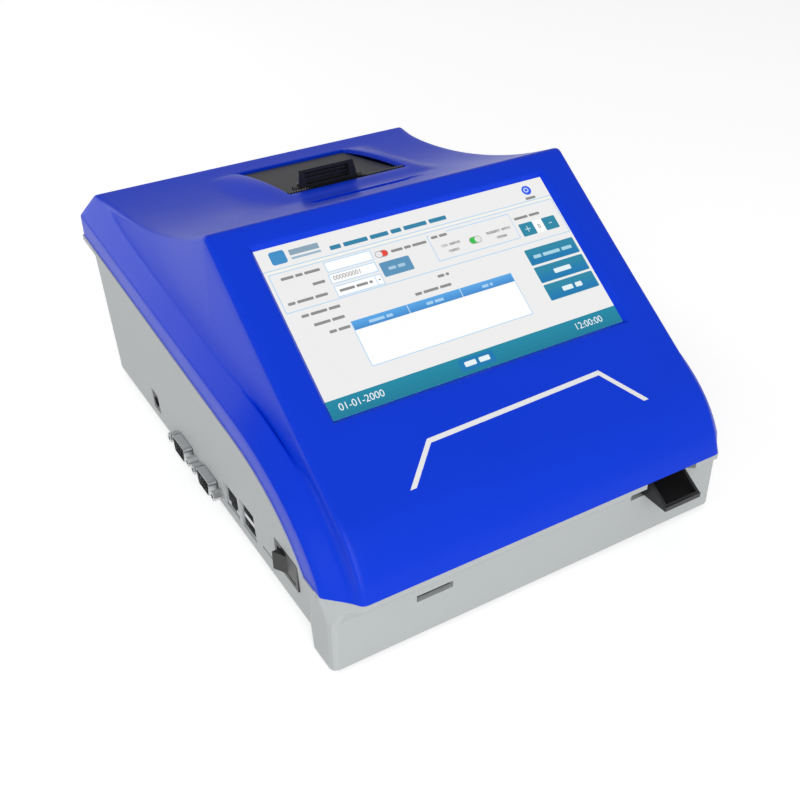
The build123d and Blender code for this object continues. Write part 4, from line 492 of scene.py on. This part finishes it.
def form_place(x, y, layer):
    """A place on a layer of the form, in mm right of and below the picture's corner."""
    level = PICTURE_LEVEL + layer * LAYER
    return spot(*panel_spot(x - PICTURE_HALF[0], MOUTH_MIDDLE - PICTURE_HALF[1] + y, level))


def add_face(places, tone):
    """One flat face of the form in one colour."""
    verts = [form_mesh.verts.new(place) for place in places]
    form_mesh.faces.new(verts).material_index = form_colours.setdefault(tone, len(form_colours))


def patch(left, right, top, bottom, layer, code, low_code=None, rows=1):
    """A rectangle of the form, maybe shading downwards."""
    for i in range(rows):
        high, low = (top + (bottom - top) * k / rows for k in (i, i + 1))
        mix = i / max(1, rows - 1)
        tone = tuple(a + (b - a) * mix for a, b in zip(linear(code), linear(low_code or code)))
        corners = [(left, low), (right, low), (right, high), (left, high)]
        add_face([form_place(x, y, layer) for x, y in corners], tone)


def pill(left, right, top, bottom, layer, code, radius=None):
    """A rounded rectangle of the form."""
    reach = min((bottom - top) / 2, (right - left) / 2, radius or right - left)
    places = []
    for corner, (cx, cy) in enumerate(((right - reach, bottom - reach), (right - reach, top + reach),
                                       (left + reach, top + reach), (left + reach, bottom - reach))):
        for i in range(PILL_TURNS + 1):
            angle = radians(-90 + 90 * corner + 90 * i / PILL_TURNS)
            places.append(form_place(cx + reach * cos(angle), cy - reach * sin(angle), layer))
    add_face(places, tuple(linear(code)))


def words(left, right, middle, size, code, layer=3):
    """A plain bar for each word of a caption."""
    x, count = left, 0
    while right - x > 0.5 * size:
        stop = min(right, x + size * (2.6, 1.5, 3.4)[(count + int(left)) % 3])
        pill(x, stop, middle - 0.26 * size, middle + 0.34 * size, layer, code, 0.12 * size)
        x = stop + 0.4 * size
        count += 1


PAPER, LINE_BLUE, INK, TEAL, DEEP = "EFEFEF", "A9D3F5", "8E8E8E", "2A88A6", "1578B4"
patch(0, 154.4, 0, 84.2, 0, PAPER)
patch(0, 154.4, 10.9, 11.3, 1, LINE_BLUE)
patch(0.8, 154.0, 11.3, 12.5, 1, "F6F4EC")


def frame_box(left, right, top, bottom, fill, layer=1, edge=0.35, code=LINE_BLUE):
    patch(left, right, top, bottom, layer, code)
    patch(left + edge, right - edge, top + edge, bottom - edge, layer + 1, fill)


frame_box(1.6, 153.8, 12.8, 32.5, PAPER)
FIELDS = ((27.7, 51.2, 13.8, 19.0), (27.2, 50.8, 20.0, 25.0), (27.2, 50.8, 26.2, 31.7))
for left, right, top, bottom in FIELDS:
    frame_box(left, right, top, bottom, "FFFFFF", layer=3)
patch(47.3, 47.6, 26.4, 31.5, 5, LINE_BLUE)
patch(48.6, 49.6, 28.8, 29.2, 5, "4C4C4C")
CAPTION = 2.3
for left, right, middle in ((6.2, 25.0, 16.2), (18.8, 25.0, 22.3), (4.2, 25.0, 28.4), (7.4, 26.0, 35.5),
                            (76.2, 82.2, 35.5), (11.0, 26.0, 40.8), (61.6, 82.2, 40.8), (16.0, 26.0, 46.0),
                            (60.8, 79.5, 17.2), (85.4, 95.8, 21.6), (87.8, 93.6, 25.0), (110.4, 124.4, 21.6),
                            (114.8, 120.4, 25.0), (128.4, 144.8, 18.4), (140.4, 146.0, 9.6)):
    words(left, right, middle, CAPTION, INK, layer=4)
words(29.0, 45.5, 28.8, 2.2, INK, layer=6)
words(34.0, 95.2, 7.7, 3.6, "2F83A8")
pill(52.5, 59.2, 15.4, 18.9, 3, "9E9E9E")
pill(55.6, 58.9, 15.7, 18.6, 4, "E8483A")
pill(52.8, 56.2, 15.7, 18.6, 5, "E9E9E9")
pill(52.2, 67.7, 21.3, 28.7, 3, "5B94BB", 0.7)
words(55.6, 64.2, 25.0, 2.6, "A8CBE2", layer=4)
frame_box(80.8, 126.8, 14.7, 28.7, PAPER, layer=3)
patch(82.2, 91.6, 14.4, 15.4, 6, PAPER)
words(82.6, 91.2, 16.2, 2.3, INK, layer=7)
pill(100.2, 107.0, 21.3, 25.0, 5, "9E9E9E")
pill(100.6, 104.6, 21.6, 24.7, 6, "35C24A")
pill(103.2, 106.7, 21.6, 24.7, 7, "E3E9E3")
pill(128.8, 136.7, 21.7, 28.7, 3, TEAL, 0.6)
pill(142.2, 150.0, 21.7, 28.7, 3, TEAL, 0.6)
patch(136.7, 142.2, 21.7, 28.7, 3, "FFFFFF")
patch(131.2, 134.4, 24.9, 25.3, 5, "CFE9F2")
patch(132.6, 133.0, 23.5, 26.7, 5, "CFE9F2")
patch(145.2, 147.0, 25.0, 25.4, 5, "CFE9F2")
for top in (35.5, 45.3, 55.0):
    pill(124.4, 153.0, top, top + 8.6, 3, TEAL, 0.6)
    patch(124.9, 152.5, top + 2.5, top + 8.2, 4, "2485AA", DEEP, rows=6)
words(127.6, 150.0, 39.9, 2.9, "A9D6E6", layer=5)
words(134.0, 143.7, 49.6, 4.0, "E6F4F8", layer=5)
words(133.2, 144.6, 59.4, 4.0, "E6F4F8", layer=5)
frame_box(26.8, 112.0, 44.2, 66.8, "FFFFFF", layer=2)
patch(27.2, 111.7, 44.2, 48.7, 4, "5AA7E8", "458FD2", rows=5)
for divider in (55.0, 83.0):
    patch(divider, divider + 0.35, 44.2, 48.7, 5, "CFE4F6")
for left, right in ((35.0, 47.0), (64.5, 73.5), (94.5, 100.3)):
    words(left, right, 46.6, 2.3, "A8D2F4", layer=5)
patch(0, 154.4, 75.4, 84.2, 1, "1A88A4", "177E9C", rows=4)
pill(64.8, 83.2, 76.6, 82.6, 2, "1379B2", 0.8)
words(67.4, 80.6, 79.3, 4.0, "E9F5F8", layer=3)
pill(140.6, 145.8, 2.6, 7.8, 2, "2A5CF0")
pill(141.7, 144.4, 3.7, 6.4, 3, "DDE8FF")
pill(142.2, 143.9, 4.2, 5.9, 4, "2A5CF0")
pill(5.8, 13.2, 2.4, 9.0, 2, "3E8FC8", 1.2)
patch(15.2, 29.6, 3.4, 6.2, 2, "8CA6B8")
patch(15.2, 29.6, 7.2, 8.3, 2, "9DB8CC")

bmesh.ops.recalc_face_normals(form_mesh, faces=form_mesh.faces)
for face in form_mesh.faces:
    if face.normal.z < 0:
        face.normal_flip()
form = bpy.data.meshes.new("lit_form")
form_mesh.to_mesh(form)
form_mesh.free()


def lit(name, tone):
    """Display light of one colour, behind the glossy front of the glass."""
    material = bpy.data.materials.new(name)
    material.use_nodes = True
    shader = material.node_tree.nodes["Principled BSDF"]
    shader.inputs["Base Color"].default_value = (0.01, 0.01, 0.01, 1)
    shader.inputs["Roughness"].default_value = 0.12
    shader.inputs["Specular IOR Level"].default_value = 0.15
    shader.inputs["Emission Color"].default_value = (*tone, 1)
    shader.inputs["Emission Strength"].default_value = 0.98
    return material


for tone, number in sorted(form_colours.items(), key=lambda item: item[1]):
    form.materials.append(lit(f"display_light_{number}", tone))
lit_form = bpy.data.objects.new("lit_form", form)
bpy.context.collection.objects.link(lit_form)
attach(lit_form, "case")

# ---- Digits on the display -----------------------------------------------------------------------
# The entry number, the counter, the date and the clock, in plain numerals.
DIGIT_HEIGHT = 0.7                          # of the typeface's size
panel_turn = Matrix((Vector((1, 0, 0)), Vector((0, cos(PANEL_LEAN), sin(PANEL_LEAN))),
                     Vector((0, -sin(PANEL_LEAN), cos(PANEL_LEAN))))).transposed()


def digits(name, body, left, middle, size, code, layer):
    """Numerals lying on the form, as flat meshes."""
    letters = bpy.data.curves.new(name, "FONT")
    letters.body = body
    letters.size = size * MM / DIGIT_HEIGHT
    maker = bpy.data.objects.new(name + "_maker", letters)
    bpy.context.collection.objects.link(maker)
    flat = bpy.data.meshes.new_from_object(maker.evaluated_get(bpy.context.evaluated_depsgraph_get()))
    bpy.data.objects.remove(maker)
    bpy.data.curves.remove(letters)
    corner = form_place(left, middle + size / 2, layer)
    flat.transform(Matrix.Translation(corner) @ panel_turn.to_4x4())
    flat.name = name
    flat.materials.clear()
    flat.materials.append(lit(name + "_light", linear(code)))
    piece = bpy.data.objects.new(name, flat)
    bpy.context.collection.objects.link(piece)
    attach(piece, "case")


digits("entry_number", "000000001", 28.8, 22.3, 2.2, "8A8A8A", 6)
digits("counter_number", "0", 138.6, 25.2, 2.2, "3A3A3A", 5)
digits("date_number", "01-01-2000", 4.6, 79.3, 3.3, "F0F7FA", 3)
digits("clock_number", "12:00:00", 128.4, 79.3, 3.3, "F0F7FA", 3)

# ---- Table, light and camera -----------------------------------------------------------------------
# White table under plain soft light: one wide lamp in front at the left, a small one low behind, and
# an even sky. The camera stands where the photograph was taken from.
FLOOR_WHITE = (0.8, 0.8, 0.8)
FLOOR_LIFT = 0.50                           # brings the lit table up to white where it is seen
bpy.ops.mesh.primitive_plane_add(size=12.0, location=(0, 0, -0.0002))
floor = bpy.context.object
floor.name = "table_top"
table_white = plastic("table_white", FLOOR_WHITE, 0.9, grain=900, depth=0.0, cloud=0.0)
nodes, links = table_white.node_tree.nodes, table_white.node_tree.links
seen = nodes.new("ShaderNodeLightPath")
either, lift = nodes.new("ShaderNodeMath"), nodes.new("ShaderNodeMath")
either.operation, lift.operation = "MAXIMUM", "MAXIMUM"
links.new(seen.outputs["Is Camera Ray"], either.inputs[0])
links.new(seen.outputs["Is Glossy Ray"], either.inputs[1])
links.new(either.outputs["Value"], lift.inputs[0])
links.new(seen.outputs["Is Transmission Ray"], lift.inputs[1])
scale = nodes.new("ShaderNodeMath")
scale.operation = "MULTIPLY"
scale.inputs[1].default_value = FLOOR_LIFT
links.new(lift.outputs["Value"], scale.inputs[0])
links.new(scale.outputs["Value"], nodes["Principled BSDF"].inputs["Emission Strength"])
nodes["Principled BSDF"].inputs["Emission Color"].default_value = (1, 1, 1, 1)
nodes["Principled BSDF"].inputs["Specular IOR Level"].default_value = 0.0
floor.data.materials.append(table_white)

world = bpy.data.worlds.new("studio")
bpy.context.scene.world = world
world.use_nodes = True
sky = world.node_tree.nodes["Background"]
sky.inputs["Color"].default_value = (1, 1, 1, 1)
sky.inputs["Strength"].default_value = 0.45

LAMP_TARGET = Vector((0, 0, 0.06))
for name, place, size, power in (("front_softbox", (-0.50, -1.20, 0.60), 1.2, 12.0),
                                 ("rear_softbox", (-0.62, 1.05, 0.50), 0.6, 3.0)):
    lamp = bpy.data.lights.new(name, "AREA")
    lamp.size = size
    lamp.energy = power
    holder = bpy.data.objects.new(name, lamp)
    bpy.context.collection.objects.link(holder)
    holder.location = place
    holder.rotation_euler = (LAMP_TARGET - Vector(place)).to_track_quat("-Z", "Y").to_euler()

CAMERA_LENS, CAMERA_PLACE = 48.86, (-0.2394, -0.4159, 0.3502)
azimuth, elevation, roll = radians(-30.64), radians(34.15), radians(-0.75)
backward = Vector((sin(azimuth) * cos(elevation), -cos(azimuth) * cos(elevation), sin(elevation)))
rightward = (-backward).cross(Vector((0, 0, 1))).normalized()
upward = rightward.cross(-backward)
rolled_right = rightward * cos(roll) + upward * sin(roll)
rolled_up = upward * cos(roll) - rightward * sin(roll)
camera = bpy.data.objects.new("camera", bpy.data.cameras.new("camera"))
bpy.context.collection.objects.link(camera)
camera.data.lens = CAMERA_LENS
camera.data.sensor_width = 36.0
camera.matrix_world = Matrix((rolled_right, rolled_up, backward)).transposed().to_4x4()
camera.location = CAMERA_PLACE
bpy.context.scene.camera = camera

bpy.context.scene.view_settings.view_transform = "Standard"
